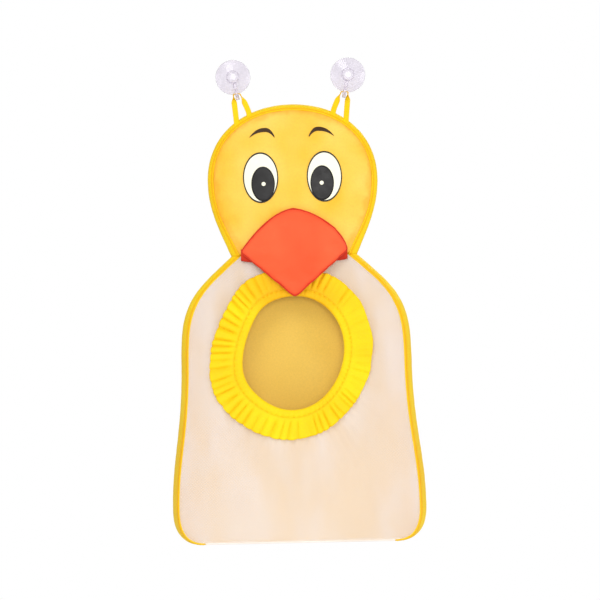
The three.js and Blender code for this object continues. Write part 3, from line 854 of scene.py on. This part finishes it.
headPad = {
    "rimDepth": 0.0120,
    "backDepth": 0.0075,
    "crown": 0.0100,
    "fullness": 2.5,
    "overlap": 1.026,          # tucks its rim under the band's front edge
    "around": 150,
    "neckSteps": 25,
    "rings": 20,
    "voxel": 0.0032,
    "smoothing": 3,
    "pucker": 0.0009,
    "puckerSpacing": 0.013,
    "puckerRadius": 0.09,
    # painted shade along the seam, how far it reaches and how deep
    "seamReach": 0.0035,
    "seamTint": 0.6,
    "sewnRim": 0.0006,
    "filling": {"pressure": 4.0, "frames": 20, "cap": 0.0022, "bending": 0.6, "spareCloth": 0.012},
}


def headLoop():
    line = evenly(mirrored(headFront) + headFront[1:], headPad["around"])
    low = headFront[-1][1]
    return line + [Vector((-neckFront * s, low)) for s in fromSideToSide(headPad["neckSteps"])[1:-1]]


# Small dents where the seam draws the padding in
def puckerHead(piece):
    for vertex in piece.data.vertices:
        rise = aboveRim(vertex.co) / headPad["crown"]
        around = Vector((vertex.co.x, vertex.co.z - headMiddle[1])).normalized()
        around = around * (headPad["puckerRadius"] / headPad["puckerSpacing"])
        strength = softStep(rise / 0.15) * softStep((0.8 - rise) / 0.6)
        vertex.co.y -= headPad["pucker"] * strength * wrinkle(around[0], around[1], rise * 2)


def aboveRim(spot):
    return -spot.y - headPad["rimDepth"]


def makeHead():
    loop = headLoop()
    rings = [sin(pi / 2 * k / headPad["rings"]) for k in range(1, headPad["rings"] + 1)]
    rows = []
    for s in rings:
        depth = headPad["rimDepth"] + headPad["crown"] * (1 - s ** headPad["fullness"])
        rows.append([inFront(headMiddle.lerp(p, s * headPad["overlap"]), depth) for p in loop])
    for s in reversed(rings):
        rows.append([inFront(headMiddle.lerp(p, s), headPad["backDepth"]) for p in loop])

    def isSewn(spot):
        return -spot.y < headPad["rimDepth"] + headPad["sewnRim"]

    piece = makePad("headPad", rows, "goldPad", headPad, isSewn, aboveRim, puckerHead)
    sewTo("bag", piece, "head_cover", "head_foam")
    return piece


headSurface = surfaceOf(makeHead())
print("head padded")


# Face: pressed films that lie on the crown of the head

face = {"lift": 0.0003, "thickness": 0.0004, "outlineWidth": 0.0011, "ovalSteps": 64, "rings": 10,
        "centre": 0.02, "rim": 1.008, "otherwise": 0.02}
brow = {"thickness": 0.0047, "peak": 0.25, "fullest": 0.35, "innerEnd": 0.0022, "outerEnd": 0.0006,
        "steps": 41}
# Across a brow and out of the head, in halves of its height and thicknesses of the film
browSection = [(1.02, -1), (1.02, 0.4), (0.9, 1), (0.45, 1), (0, 1),
               (-0.45, 1), (-0.9, 1), (-1.02, 0.4), (-1.02, -1)]


def onHead(x, z, lift):
    return inFront((x, z), depthOn(headSurface, x, z, face["otherwise"]) + lift)


# One oval layer of film or, with a width, only the ring of its outline
def filmOval(name, node, layer, finish, ring=None):
    low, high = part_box(node)
    middle, half = (low + high) / 2, (high - low) / 2
    inner = 1 - ring / half.x if ring else face["centre"]
    thick = face["thickness"]
    lift = face["lift"] + layer * thick * 0.8
    levels = [(blendOf(inner, 1, share), thick) for share in shares(face["rings"])]
    levels += [(face["rim"], thick / 2), (face["rim"], -1.5 * face["lift"])]
    turns = roundTurn(face["ovalSteps"])
    rows = []
    for share, rise in levels:
        wide, tall = half.x * share, half.z * share
        rows.append([onHead(middle.x + wide * cos(a), middle.z + tall * sin(a), lift + rise) for a in turns])
    mesh = gridMesh(name, rows, closedAcross=True)
    if not ring:
        with editing(mesh) as work:
            work.verts.ensure_lookup_table()
            work.faces.new([work.verts[k] for k in range(len(turns))])
            bmesh.ops.recalc_face_normals(work, faces=work.faces)
    piece = addPiece(name, mesh, finish)
    if not ring:
        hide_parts(node)
    sewTo("bag", piece)


# Minus one to one on either side of a place along the brow
def sideOf(share, place):
    return (share - place) / (1 - copysign(place, share - place))


# A brush-stroke brow: a fine outer end, thickest just inside its top, and a blunter inner end
def filmBrow(name, node, way):
    low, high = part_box(node)
    middle, half = (low.x + high.x) / 2, (high.x - low.x) / 2
    thick = brow["thickness"]
    rise = high.z - low.z - thick * 0.6
    rows = []
    for share in fromSideToSide(brow["steps"]):
        end = brow["innerEnd"] if share > brow["fullest"] else brow["outerEnd"]
        size = blendOf(thick, end, abs(sideOf(share, brow["fullest"])) ** 2.6) / 2
        x = middle - way * half * share
        z = high.z - thick / 2 - rise * abs(sideOf(share, brow["peak"])) ** 2.3
        rows.append([onHead(x, z + up * size, face["lift"] + height * face["thickness"])
                     for up, height in browSection])
    sewTo("bag", addPiece(name, gridMesh(name, rows), "brownFilm"), node)


def makeFace():
    for side, way in (("left", -1), ("right", 1)):
        filmOval(side + "EyeWhite", side + "_eye_white", 0, "whiteFilm")
        filmOval(side + "EyeLine", side + "_eye_white", 0.4, "darkFilm", face["outlineWidth"])
        filmOval(side + "Pupil", side + "_pupil", 1, "darkFilm")
        filmOval(side + "Glint", side + "_glint", 2, "whiteFilm")
        filmBrow(side + "Brow", side + "_brow", way)


makeFace()
print("face pressed on")


# Beak: one padded cushion, sewn to the head above its fold and free below it

beak = {
    "centreDepth": 0.0338,
    "tipDepth": 0.0318,
    "cornerDepth": 0.0186,
    "headDepth": 0.0145,             # where the head's surface isn't met
    "seamThickness": 0.0044,
    "seatGap": 0.0007,
    "leastThickness": 0.0018,
    "cornerRise": (0.022, 0.014),    # right and left, one shoulder has sunk
    "cornerTuck": (0.003, 0.010),
    "browReach": 0.027,
    "browFall": 0.004,
    "tipRound": 0.006,
    "tipOver": 0.0012,               # how far the straight edges would meet below the rounded tip
    "edge": 0.0024,
    "flapCrown": 0.0075,
    "rimPower": 1.6,
    "hangStart": 0.004,              # the pad leaves the head just above its fold
    "hangRun": 0.012,
    "foldHalf": 0.010,               # half height of the strip that bends at the fold
    "rings": 16,
    "voxel": 0.0028,
    "smoothing": 2,
    "sewnReach": 0.0035,
    "sewnDepth": 0.019,
    "filling": {"pressure": 3.5, "frames": 16, "cap": 0.0016, "bending": 0.8, "spareCloth": 0.01},
    "overlap": 1.026,                # the pad fills out to its edge cord
    "rimInset": 0.001,
    "cordInset": 0.0012,
    "cordRadius": 0.0011,
    "cordStand": 0.0004,             # how far the cord's middle stands off the pad
    "cordSteps": 220,
    # painted shade towards the edge cord, how far it reaches and how deep
    "seamReach": 0.0045,
    "seamTint": 0.7,
}
foldZ = joints["beak_lift"]["pos_m"][2]
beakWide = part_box("beak_crown")[1].x
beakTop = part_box("beak_crown")[1].z
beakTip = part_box("beak_flap")[0].z - beak["tipOver"]


def beakEdges():
    corner, tip = Vector((beakWide, foldZ)), Vector((0, beakTip))
    browSpot = (beak["browReach"], beakTop - beak["browFall"])
    shoulders = []
    for rise, tuck in zip(beak["cornerRise"], beak["cornerTuck"]):
        shoulders.append(bezierRun([corner, (beakWide - tuck, foldZ + rise), browSpot, (0, beakTop)], 31))
    start = tip.lerp(corner, beak["tipRound"] / beakWide)
    middle = Vector((0, (start[1] + tip[1]) / 2))
    lower = [corner.lerp(start, t) for t in shares(25)]
    lower += [start.lerp(tip, t).lerp(tip.lerp(middle, t), t) for t in shares(7)[1:]]
    return shoulders[0] + mirrored(shoulders[1])[1:], lower + mirrored(lower)[1:]


def seatAt(p):
    return depthOn(headSurface, p[0], p[1], beak["headDepth"]) + beak["seatGap"]


def lowerRim(p):
    reach = clamp(abs(p[0]) / beakWide)
    return blendOf(beak["tipDepth"], beak["cornerDepth"], reach ** beak["rimPower"])


def beakRows(loop, rims):
    middle = Vector((0, foldZ))
    front, back = [], []
    for k in range(1, beak["rings"] + 1):
        share = sin(pi / 2 * k / beak["rings"])
        frontRow, backRow = [], []
        for p, rim in zip(loop, rims):
            spot = middle.lerp(p, share * beak["overlap"])
            depth = blendOf(beak["centreDepth"], rim, share ** 2)
            free = depth - beak["edge"] - beak["flapCrown"] * (1 - share ** 2)
            hanging = softStep((foldZ + beak["hangStart"] - spot[1]) / beak["hangRun"])
            rear = min(blendOf(seatAt(spot), free, hanging), depth - beak["leastThickness"])
            frontRow.append(inFront(spot, depth))
            backRow.append(inFront(spot, rear))
        front.append(frontRow)
        back.append(backRow)
    return front + back[::-1]


# The edge cord lies on the pad, all the way round
def cordPath(pad, loop, rims):
    surface = surfaceOf(pad)
    path = []
    edge = [inFront(p, rim - beak["cordInset"]) for p, rim in zip(loop, rims)]
    for spot in evenly(edge, beak["cordSteps"], closed=True):
        nearest = surface.find_nearest(spot)
        stand = min(nearest[3], beak["cordStand"])
        path.append(nearest[0] + (spot - nearest[0]).normalized() * stand)
    return evenly(path[::2], beak["cordSteps"], closed=True)


def makeBeak():
    upper, lower = beakEdges()
    lower = lower[::-1][1:-1]
    loop = upper + lower
    rims = [seatAt(p) + beak["seamThickness"] for p in upper] + [lowerRim(p) for p in lower]
    rimSpots = [inFront(p, rim - beak["rimInset"]) for p, rim in zip(loop, rims)]

    def fromRim(spot):
        return min((spot - r).length for r in rimSpots)

    def isSewn(spot):
        return fromRim(spot) < beak["sewnReach"] or -spot.y < beak["sewnDepth"]

    piece = makePad("beakPad", beakRows(loop, rims), "beakRed", beak, isSewn, fromRim)
    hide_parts("beak_crown", "beak_flap")
    tube = tubeRows(cordPath(piece, loop, rims), beak["cordRadius"], closed=True)
    cord = addPiece("beakEdge", gridMesh("beakEdge", tube, closedRound=True, closedAcross=True), "darkRed")
    for part in (piece, cord):
        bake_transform(part)


makeBeak()
print("beak padded")


# Lower bill: a dark strip behind the free half of the beak

bill = {"overhang": 0.0010, "tuck": 0.003, "thickness": 0.0011, "height": 0.0125, "lift": 0.0012,
        "stand": 0.0012, "flare": 0.0012, "crease": 0.0005, "creaseSpacing": 0.012, "headDepth": 0.0142,
        "columns": 61, "rows": 8}


def makeBill():
    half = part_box("beak_lining")[1].x + bill["overhang"]
    rows = []
    for share in fromSideToSide(bill["columns"]):
        x = half * share
        seat = depthOn(headSurface, x, foldZ, bill["headDepth"]) + bill["stand"]
        seat += bill["lift"] * (1 - share ** 2) + bill["thickness"] / 2
        low = foldZ - bill["height"] * (1 - 0.2 * abs(share) ** 8)
        row = []
        for drop in shares(bill["rows"]):
            crease = bill["crease"] * wrinkle(x / bill["creaseSpacing"], drop * 2, 3.3)
            z = blendOf(foldZ + bill["tuck"], low, drop)
            row.append(inFront((x, z), seat + bill["flare"] * drop + crease))
        rows.append(row)
    mesh = gridMesh("lowerBill", rows, shade=lambda i, j: 0.6 * softStep((j - 4) / 3))
    piece = addSheet("lowerBill", mesh, "darkRed", bill["thickness"], "beak_lining")


makeBill()
print("lower bill sewn")


# Mouth: an oval hole, an elastic channel round it and a gathered frill

mouth = {
    "channelWidth": 0.010,
    "channelBack": -0.0025,
    "channelFront": 0.0034,
    "channelGathers": 74,
    "channelCrimp": 0.0007,
    "netLift": 0.0033,
    "frillStart": 0.0080,
    "frillReach": 0.0337,
    "frillLift": 0.0026,
    "frillOuterLift": 0.0034,
    "frillFold": 0.0038,      # from the bottom of a crease to the top of a pleat
    "frillGathers": 60,
    "frillThickness": 0.0007,
    "frillStand": 0.0009,     # clear of the net below it
    "edgeWave": 0.0016,
    "pleatReach": 0.0014,
    "pleatLean": 0.09,
    "slouch": 0.0044,         # the gathered ring hangs to one side
    "slouchWay": 193.0,
    "stretch": 0.0042,        # and is drawn out along a slant
    "stretchWay": 210.0,
    "lobes": ((204.0, 0.0050), (124.0, 0.0056)),   # with two fuller lobes
    "holeShare": 0.6,         # how much of all three reaches the hole
    "bunched": (0.75, 0.4),   # deeper yellow painted as the beak's shadow on the ring, inside and outside
    "bunchStart": 0.55,       # sine of the angle where that sets in
    "steps": 900,
    "across": 16,
    "stitchSteps": 301,
    "stitch": {"pitch": 0.0032, "length": 0.0025, "radius": 0.00028},
}
# Across the channel from the hole outward: reach, height and painted shade, most where it turns under at its
# outer edge
channelProfile = [(0.02, 0.0, 0.2), (0.0, 0.3, 0.15), (0.01, 0.62, 0.1), (0.07, 0.86, 0.1),
                  (0.2, 0.98, 0.1), (0.42, 1.0, 0.1), (0.66, 0.96, 0.12), (0.86, 0.86, 0.2),
                  (0.97, 0.7, 0.35), (1.0, 0.5, 0.45), (0.98, 0.2, 0.4), (0.9, 0.0, 0.2), (0.75, -0.02, 0.2)]
mouthLow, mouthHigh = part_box("mouth_casing")
mouthMiddle = Vector(((mouthLow.x + mouthHigh.x) / 2, (mouthLow.z + mouthHigh.z) / 2))
mouthWide = (mouthHigh.x - mouthLow.x) / 2 - mouth["channelWidth"]
mouthTall = (mouthHigh.z - mouthLow.z) / 2 - mouth["channelWidth"]
mouthTurns = roundTurn(mouth["steps"])


def slouchAt(angle):
    aside = cos(angle - radians(mouth["slouchWay"]))
    slant = cos(2 * (angle - radians(mouth["stretchWay"])))
    fuller = sum(size * max(0, cos(angle - radians(way))) ** 14 for way, size in mouth["lobes"])
    return mouth["slouch"] * aside + mouth["stretch"] * slant + fuller


def ovalSpot(angle, reach):
    reach += slouchAt(angle) * blendOf(mouth["holeShare"], 1, clamp(reach / mouth["frillReach"]))
    way = Vector((cos(angle), sin(angle)))
    length = 1 / hypot(way[0] / (mouthWide + reach), way[1] / (mouthTall + reach))
    return mouthMiddle + way * length


def ringSpot(angle, reach, lift):
    p = ovalSpot(angle, reach)
    return inFront(p, seamDepth(p[1]) + mouth["netLift"] + lift)


def gatherAt(angle):
    x, z = cos(angle), sin(angle)
    wave = sin(mouth["channelGathers"] * angle + 4.8 * wrinkle(x * 2.2, z * 2.2, 1.0))
    return wave * (0.6 + 0.6 * wrinkle(x * 6, z * 6, 5.0))


# The frill at one spot: sharp creases with round pleats between, and how strongly it folds there
def pleatAt(angle, share):
    x, z = cos(angle), sin(angle)
    lean = mouth["pleatLean"] * wrinkle(x * 3, z * 3, 6.2) * share
    drift = 3.4 * wrinkle(x * 2.4, z * 2.4, 5.0) + 2.6 * wrinkle(x * 7, z * 7, 3.1)
    crease = abs(sin((mouth["frillGathers"] * (angle + lean) + drift) / 2))
    strength = 0.52 - 0.3 * x + 0.85 * wrinkle(x * 5, z * 5, 9.0)
    return 1 - (1 - crease) ** 1.6, clamp(strength, 0.12, 1.0)


# Painted shadow of the beak on the top of the ring, beside the beak's tip
def beakShadowAt(angle, share):
    inside, outside = mouth["bunched"]
    return blendOf(inside, outside, share) * softStep((sin(angle) - mouth["bunchStart"]) / 0.4)


def makeChannel():
    wide, back, front = mouth["channelWidth"], mouth["channelBack"], mouth["channelFront"]
    rows = []
    for angle in mouthTurns:
        gather = mouth["channelCrimp"] * gatherAt(angle)
        row = []
        for across, height, tint in channelProfile:
            crimp = gather * (0.2 + 0.8 * across) * softStep((height - 0.3) / 0.4)
            row.append(ringSpot(angle, across * wide, blendOf(back, front, height) + crimp))
        rows.append(row)

    # Painted shade across the channel, and the beak's painted shadow on it
    def channelShade(i, j):
        return max(channelProfile[j][2], beakShadowAt(mouthTurns[i], 0))

    mesh = turnOutward(gridMesh("mouthChannel", rows, closedRound=True, shade=channelShade))
    piece = addSheet("mouthChannel", mesh, "frillYellow", mouth["frillThickness"],
                     "mouth_casing", "mouth_elastic")
    height = blendOf(back, front, 0.92) + mouth["frillThickness"] / 2
    path = [ringSpot(tau * share, wide * 0.84, height) for share in shares(mouth["stitchSteps"])]
    addStitches("channelStitches", path, [Vector((0, -1, 0))] * len(path), mouth["stitch"], "frillYellow")


def makeFrill(netSurface):
    rows, tints = [], []
    for angle in mouthTurns:
        wave = mouth["edgeWave"] * wrinkle(cos(angle) * 4, sin(angle) * 4, 2.2)
        row, tint = [], []
        for share in shares(mouth["across"]):
            pleat, strength = pleatAt(angle, share)
            grow = strength * softStep(share / 0.4)
            reach = blendOf(mouth["frillStart"], mouth["frillReach"], share)
            reach += share ** 2 * (mouth["pleatReach"] * strength * (pleat - 0.6) + wave)
            lift = blendOf(mouth["frillLift"], mouth["frillOuterLift"], share)
            spot = ringSpot(angle, reach, lift + mouth["frillFold"] * grow * (pleat - 0.55))
            spot.y = min(spot.y, -depthOn(netSurface, spot.x, spot.z, 0) - mouth["frillStand"])
            row.append(spot)
            # Painted shade in the frill's creases and where it meets the channel, with the beak's painted
            # shadow
            crease = 0.4 * grow * (1 - pleat) + 0.25 * softStep(1 - share * 6)
            tint.append(clamp(crease + beakShadowAt(angle, share)))
        rows.append(row)
        tints.append(tint)
    mesh = turnOutward(gridMesh("mouthFrill", rows, closedRound=True, shade=lambda i, j: tints[i][j]))
    piece = addSheet("mouthFrill", mesh, "frillYellow", mouth["frillThickness"], "mouth_frill")


# Front net: a shell from the front seam to the channel, which sags towards the base

net = {
    "thickness": 0.0006,
    "crown": 0.003,
    "belly": 0.0045,
    "pucker": 0.0007,
    "slack": 0.0024,
    "foldWidth": 0.032,
    "foldLength": 0.1,
    "creaseWidth": 0.012,
    "creaseLength": 0.03,
    "foldTint": 0.55,         # painted shade in the hollow of a fold, how much warmer the net looks there
    # painted shade along the band's seam
    "seamTint": 0.8,
    "seamReach": 0.03,        # share of the way in from the band that takes the seam's colour
    "cutShare": 0.9,          # of the rectangle that it is cut from
    "seat": 0.0003,           # off the band's seam
    "holeGap": 0.0004,        # between the net and the channel
    "steps": 30,
    "sideSteps": 120,
    "baseSteps": 61,
    "topSteps": 37,
}


def netLoop():
    right = evenly(pouchFront, net["sideSteps"])
    base = [Vector((-right[-1][0] * s, right[-1][1])) for s in fromSideToSide(net["baseSteps"])]
    top = [Vector((neckFront * s, right[0][1])) for s in fromSideToSide(net["topSteps"])]
    return right + base[1:-1] + mirrored(right) + top[1:-1]


# Long hanging folds, and short ones drawn out from the gathered mouth
def netFold(spot, share, angle):
    fold = wrinkle(spot[0] / net["foldWidth"], spot[1] / net["foldLength"], 5.5)
    fold += 0.4 * wrinkle(spot[0] / net["creaseWidth"], spot[1] / net["creaseLength"], 8.5)
    drawn = wrinkle(cos(angle) * 5, sin(angle) * 5, 1.5 + share)
    return fold + 0.8 * drawn * (1 - share)


def netDepth(spot, share, angle, fold):
    low = softStep((neckZ - spot[1]) / (neckZ - baseZ))
    depth = seamDepth(spot[1]) + net["seat"] + net["crown"] * (1 - share ** 2)
    depth += net["belly"] * low * sin(pi * share) ** 1.2
    depth += net["pucker"] * gatherAt(angle) * (1 - share) ** 3
    return depth + net["slack"] * sin(pi * share) * fold


def makeNetFront():
    rows, tints = [], []
    for edge in netLoop():
        way = edge - mouthMiddle
        angle = atan2(way[1], way[0])
        start = ovalSpot(angle, mouth["channelWidth"] + net["holeGap"])
        row, tint = [], []
        for share in shares(net["steps"]):
            spot = start.lerp(edge, share)
            fold = netFold(spot, share, angle)
            row.append(inFront(spot, netDepth(spot, share, angle, fold) + net["thickness"] / 2))
            # Painted shade in the hollows of the net's folds and along the band's seam
            hollow = net["foldTint"] * softStep(0.5 - 0.8 * fold)
            tint.append(max(hollow, paintedSeamShadeAt(net, 1 - share)))
        rows.append(row)
        tints.append(tint)
    mesh = gridMesh("frontNet", rows, closedRound=True, shade=lambda i, j: tints[i][j])
    layer = mesh.uv_layers["threads"]
    for loop in mesh.loops:
        spot = mesh.vertices[loop.vertex_index].co
        layer.data[loop.index].uv = (spot.x, spot.z)
    piece = sewTo("bag", addPiece("frontNet", turnOutward(mesh), "whiteNet"), "front_net")
    return piece


# Floor of the pouch: the net turned under to the back panel
base = {"sag": 0.0015, "crease": 0.0006, "creaseSpacing": 0.02, "rise": 0.0004, "backDepth": 0.0014,
        "frontStand": 0.0006, "columns": 61, "rows": 13, "edgeRadius": 0.001, "edgeRise": 0.0003,
        "edgeStand": 0.0004, "edgeSteps": 81}


def makeBase():
    frontHalf, backHalf = pouchFront[-1][0], pouchBack[-1][0]
    rows = []
    for share in fromSideToSide(base["columns"]):
        row = []
        for deep in shares(base["rows"]):
            x = blendOf(backHalf, frontHalf, deep) * share
            sag = base["sag"] * (1 - share ** 2)
            sag += base["crease"] * wrinkle(x / base["creaseSpacing"], deep * 3, 1.1)
            depth = blendOf(base["backDepth"], baseDepth + base["frontStand"], deep)
            row.append(inFront((x, baseZ + base["rise"] - sag * sin(pi * deep)), depth))
        rows.append(row)
    piece = sewTo("bag", addPiece("pouchFloor", gridMesh("pouchFloor", rows), "whiteNet"), "base_panel")
    front, back = (baseDepth + base["edgeStand"], frontHalf), (base["backDepth"], backHalf)
    edgeZ = baseZ + base["edgeRise"]
    for name, (depth, half) in (("floorFrontEdge", front), ("floorBackEdge", back)):
        path = [inFront((half * s, edgeZ), depth) for s in fromSideToSide(base["edgeSteps"])]
        addBead(name, path, base["edgeRadius"], "whiteTape")


makeChannel()
frontNet = makeNetFront()
makeFrill(surfaceOf(frontNet))
print("mouth gathered")
makeBase()
print("net sewn in")


# Hanging loops: yellow tape that twists from the head's seam up into the hooks

loop = {
    "width": 0.0063,
    "thickness": 0.0011,
    "baseOffset": 0.0555,
    "baseSpread": 0.015,
    "baseDepth": 0.0075,
    "strand": (0.0049, 0.0038),    # inner and outer, from the hook's middle, with room for the hook to turn
    "footShift": (0.0, -0.0003),
    "seamShift": (0.0006, 0.0),
    "middle": (0.55, 0.5),    # share of the way up where each strand is guided
    "bend": 0.0022,
    "crown": 0.0002,
    "sink": 0.0065,
    "rise": 0.002,            # the tape stands straight just above the seam
    "baseTurn": 75.0,         # degrees the tape faces round to the front at its base
    "twistLength": 0.009,
    "edgeTint": 0.4,
    "steps": 90,
}
hook = {
    "drop": 0.0205,
    "ringInner": 0.0048,
    "ringOuter": 0.0075,
    "ringSteps": 56,
    "thickness": 0.0026,
    "width": 0.0040,
    "rounding": 0.0007,
    "troughRadius": 0.0042,
    "lip": 0.006,
    "armSink": 0.0004,        # the arm starts just inside the ring
}
# Across the tape, in halves of its width and thickness, from one edge round to the other
tapeSection = [(-1, -0.7), (-1, 0.7), (-0.86, 1), (-0.3, 1), (0.3, 1), (0.86, 1),
               (1, 0.7), (1, -0.7), (0.86, -1), (0.3, -1), (-0.3, -1), (-0.86, -1)]
swing = joints["bag_swing"]["pos_m"]
troughDepth = -swing[1]
hookZ = swing[2]
cupX = sum(corner.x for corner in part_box("right_suction_cup")) / 2
hookLean = acos(-hookZ / hook["drop"])
hookX = cupX - hook["drop"] * sin(hookLean)


def headTopAt(x):
    return next(p[1] for p in evenly(headBack, 200) if p[0] >= x)


# Up one strand, from its foot inside the seam to the bend in the hook
def strandPath(which):
    inward = 1 - 2 * which
    x = loop["baseOffset"] - inward * loop["baseSpread"] / 2
    hookSide = hookX - inward * loop["strand"][which]
    share, top = loop["middle"][which], headTopAt(x)
    bend, depth = loop["bend"], loop["baseDepth"]
    return [
        (x + loop["footShift"][which], depth, top - loop["sink"]),
        (x + loop["seamShift"][which], depth, top + loop["rise"]),
        (blendOf(x, hookSide, share), (depth + troughDepth) / 2, blendOf(top, hookZ, share)),
        (hookSide, troughDepth - bend / 2, hookZ - bend),
        (hookSide + inward * bend * 0.7, troughDepth, hookZ + loop["crown"] / 2),
    ]


def loopPath():
    return strandPath(0) + [(hookX, troughDepth, hookZ + loop["crown"])] + strandPath(1)[::-1]


def makeLoop(name, node, way):
    line = evenly([Vector((way * x, -depth, z)) for x, depth, z in loopPath()], loop["steps"])
    topZ = hookZ - loop["bend"]
    rows = []
    for i, (spot, run) in enumerate(zip(line, waysAlong(line))):
        turn = radians(loop["baseTurn"]) * softStep((topZ - spot.z) / loop["twistLength"])
        depthWay = Vector((0, -1, 0))
        depthWay = (depthWay - run * depthWay.dot(run)).normalized()
        wide = Matrix.Rotation(turn * (way if i < loop["steps"] / 2 else -way), 3, run) @ depthWay
        flat = wide.cross(run).normalized()
        wide, flat = wide * (loop["width"] / 2), flat * (loop["thickness"] / 2)
        rows.append([spot + wide * across + flat * high for across, high in tapeSection])

    def tapeTint(i, j):
        return loop["edgeTint"] if abs(tapeSection[j][0]) == 1 else 0.0

    mesh = closedMesh(name, rows, closedAcross=True, shade=tapeTint)
    sewTo("bag", addPiece(name, mesh, "yellowBand"), node)


makeLoop("leftLoop", "left_loop", -1)
makeLoop("rightLoop", "right_loop", 1)
print("loops hung")


# Suction cups and clip-on hooks, clear soft plastic

# Half of a cup's section in millimetres, radius and height off the wall: hollow, rim, dish, neck and knob
cupSteps = 72
cupProfile = [
    (0.0, 3.6), (5.0, 3.3), (10.0, 2.7), (14.5, 1.5), (18.2, 0.12), (18.9, 0.0), (19.5, 0.02),
    (19.9, 0.2), (20.0, 0.5), (19.85, 0.85), (19.3, 1.15),
    (17.6, 2.1), (15.6, 3.2), (13.0, 4.4), (10.0, 5.6), (7.6, 6.5), (6.0, 7.2), (5.0, 7.7),
    (4.6, 8.1), (4.5, 8.5), (4.5, 10.7), (4.6, 11.05), (5.0, 11.2), (5.7, 11.22),
    (6.1, 11.4), (6.2, 11.8), (6.2, 13.4), (6.05, 14.3), (5.5, 15.1), (4.6, 15.55), (3.0, 15.7), (0.0, 15.72),
]


# A section of radius and height, turned round an axis that stands off the wall
def turnedRows(section, count, x=0.0):
    rows = []
    for a in roundTurn(count):
        rows.append([Vector((x + radius * cos(a), -height, radius * sin(a))) for radius, height in section])
    return rows


def makeCup(name, node, way):
    section = [(max(radius, 0.02) / 1000, height / 1000) for radius, height in cupProfile]
    mesh = closedMesh(name, turnedRows(section, cupSteps, way * cupX), closedRound=True)
    sewTo("wall_cups", addPiece(name, mesh, "clearPlastic"), node)


# A bar's section with rounded corners
def roundedSection(halfWide, halfThick):
    radius = hook["rounding"]
    section = []
    for cornerX, cornerY, first in ((1, 1, 0), (-1, 1, 90), (-1, -1, 180), (1, -1, 270)):
        for k in range(4):
            angle = radians(first + 30 * k)
            section.append((cornerX * (halfWide - radius) + radius * cos(angle),
                            cornerY * (halfThick - radius) + radius * sin(angle)))
    return section


def hookRing(depth):
    middle = (hook["ringInner"] + hook["ringOuter"]) / 2
    section = roundedSection((hook["ringOuter"] - hook["ringInner"]) / 2, hook["thickness"] / 2)
    return turnedRows([(middle + a, depth + b) for a, b in section], hook["ringSteps"])


# Down from the ring, round the trough and up its lip, with a finer tip
def hookArm(depth):
    bend = hook["troughRadius"] + hook["thickness"] / 2
    bottom = -hook["drop"]
    line = [(depth, blendOf(hook["armSink"] - hook["ringOuter"], bottom, share)) for share in shares(13)[:-1]]
    for angle in (pi + pi * share for share in shares(25)):
        line.append((troughDepth + bend * cos(angle), bottom + bend * sin(angle)))
    line += [(troughDepth + bend, bottom + hook["lip"] * share) for share in shares(6)[1:]]
    line = [Vector(spot) for spot in line]
    rows = []
    for i, (spot, run) in enumerate(zip(line, waysAlong(line))):
        tip = softStep((i - (len(line) - 5)) / 4)
        wide, thick = hook["width"] * (1 - 0.3 * tip), hook["thickness"] * (1 - 0.35 * tip)
        rows.append([Vector((a, run[1] * b - spot[0], spot[1] + run[0] * b))
                     for a, b in roundedSection(wide / 2, thick / 2)])
    return rows


def makeHook(name, node, way, body):
    middleDepth = troughDepth - hook["troughRadius"] - hook["thickness"] / 2
    turn = Matrix.Rotation(way * hookLean, 3, "Y")
    shift = Vector((way * cupX, 0, 0))
    mesh = bpy.data.meshes.new(name)
    with editing(mesh) as work:
        for rows, closed in ((hookRing(middleDepth), True), (hookArm(middleDepth), False)):
            spots = [[work.verts.new(turn @ p + shift) for p in row] for row in rows]
            for before, after in zip(spots, spots[1:] + (spots[:1] if closed else [])):
                for j in range(len(before)):
                    m = (j + 1) % len(before)
                    work.faces.new((before[j], after[j], after[m], before[m]))
            if not closed:
                work.faces.new(spots[0])
                work.faces.new(spots[-1][::-1])
        bmesh.ops.recalc_face_normals(work, faces=work.faces)
    sewTo(body, addPiece(name, mesh, "clearPlastic"), node)


for side, way in (("left", -1), ("right", 1)):
    makeCup(side + "Cup", side + "_suction_cup", way)
    makeHook(side + "Hook", side + "_cup_hook", way, side + "_hook")
print("cups and hooks made")
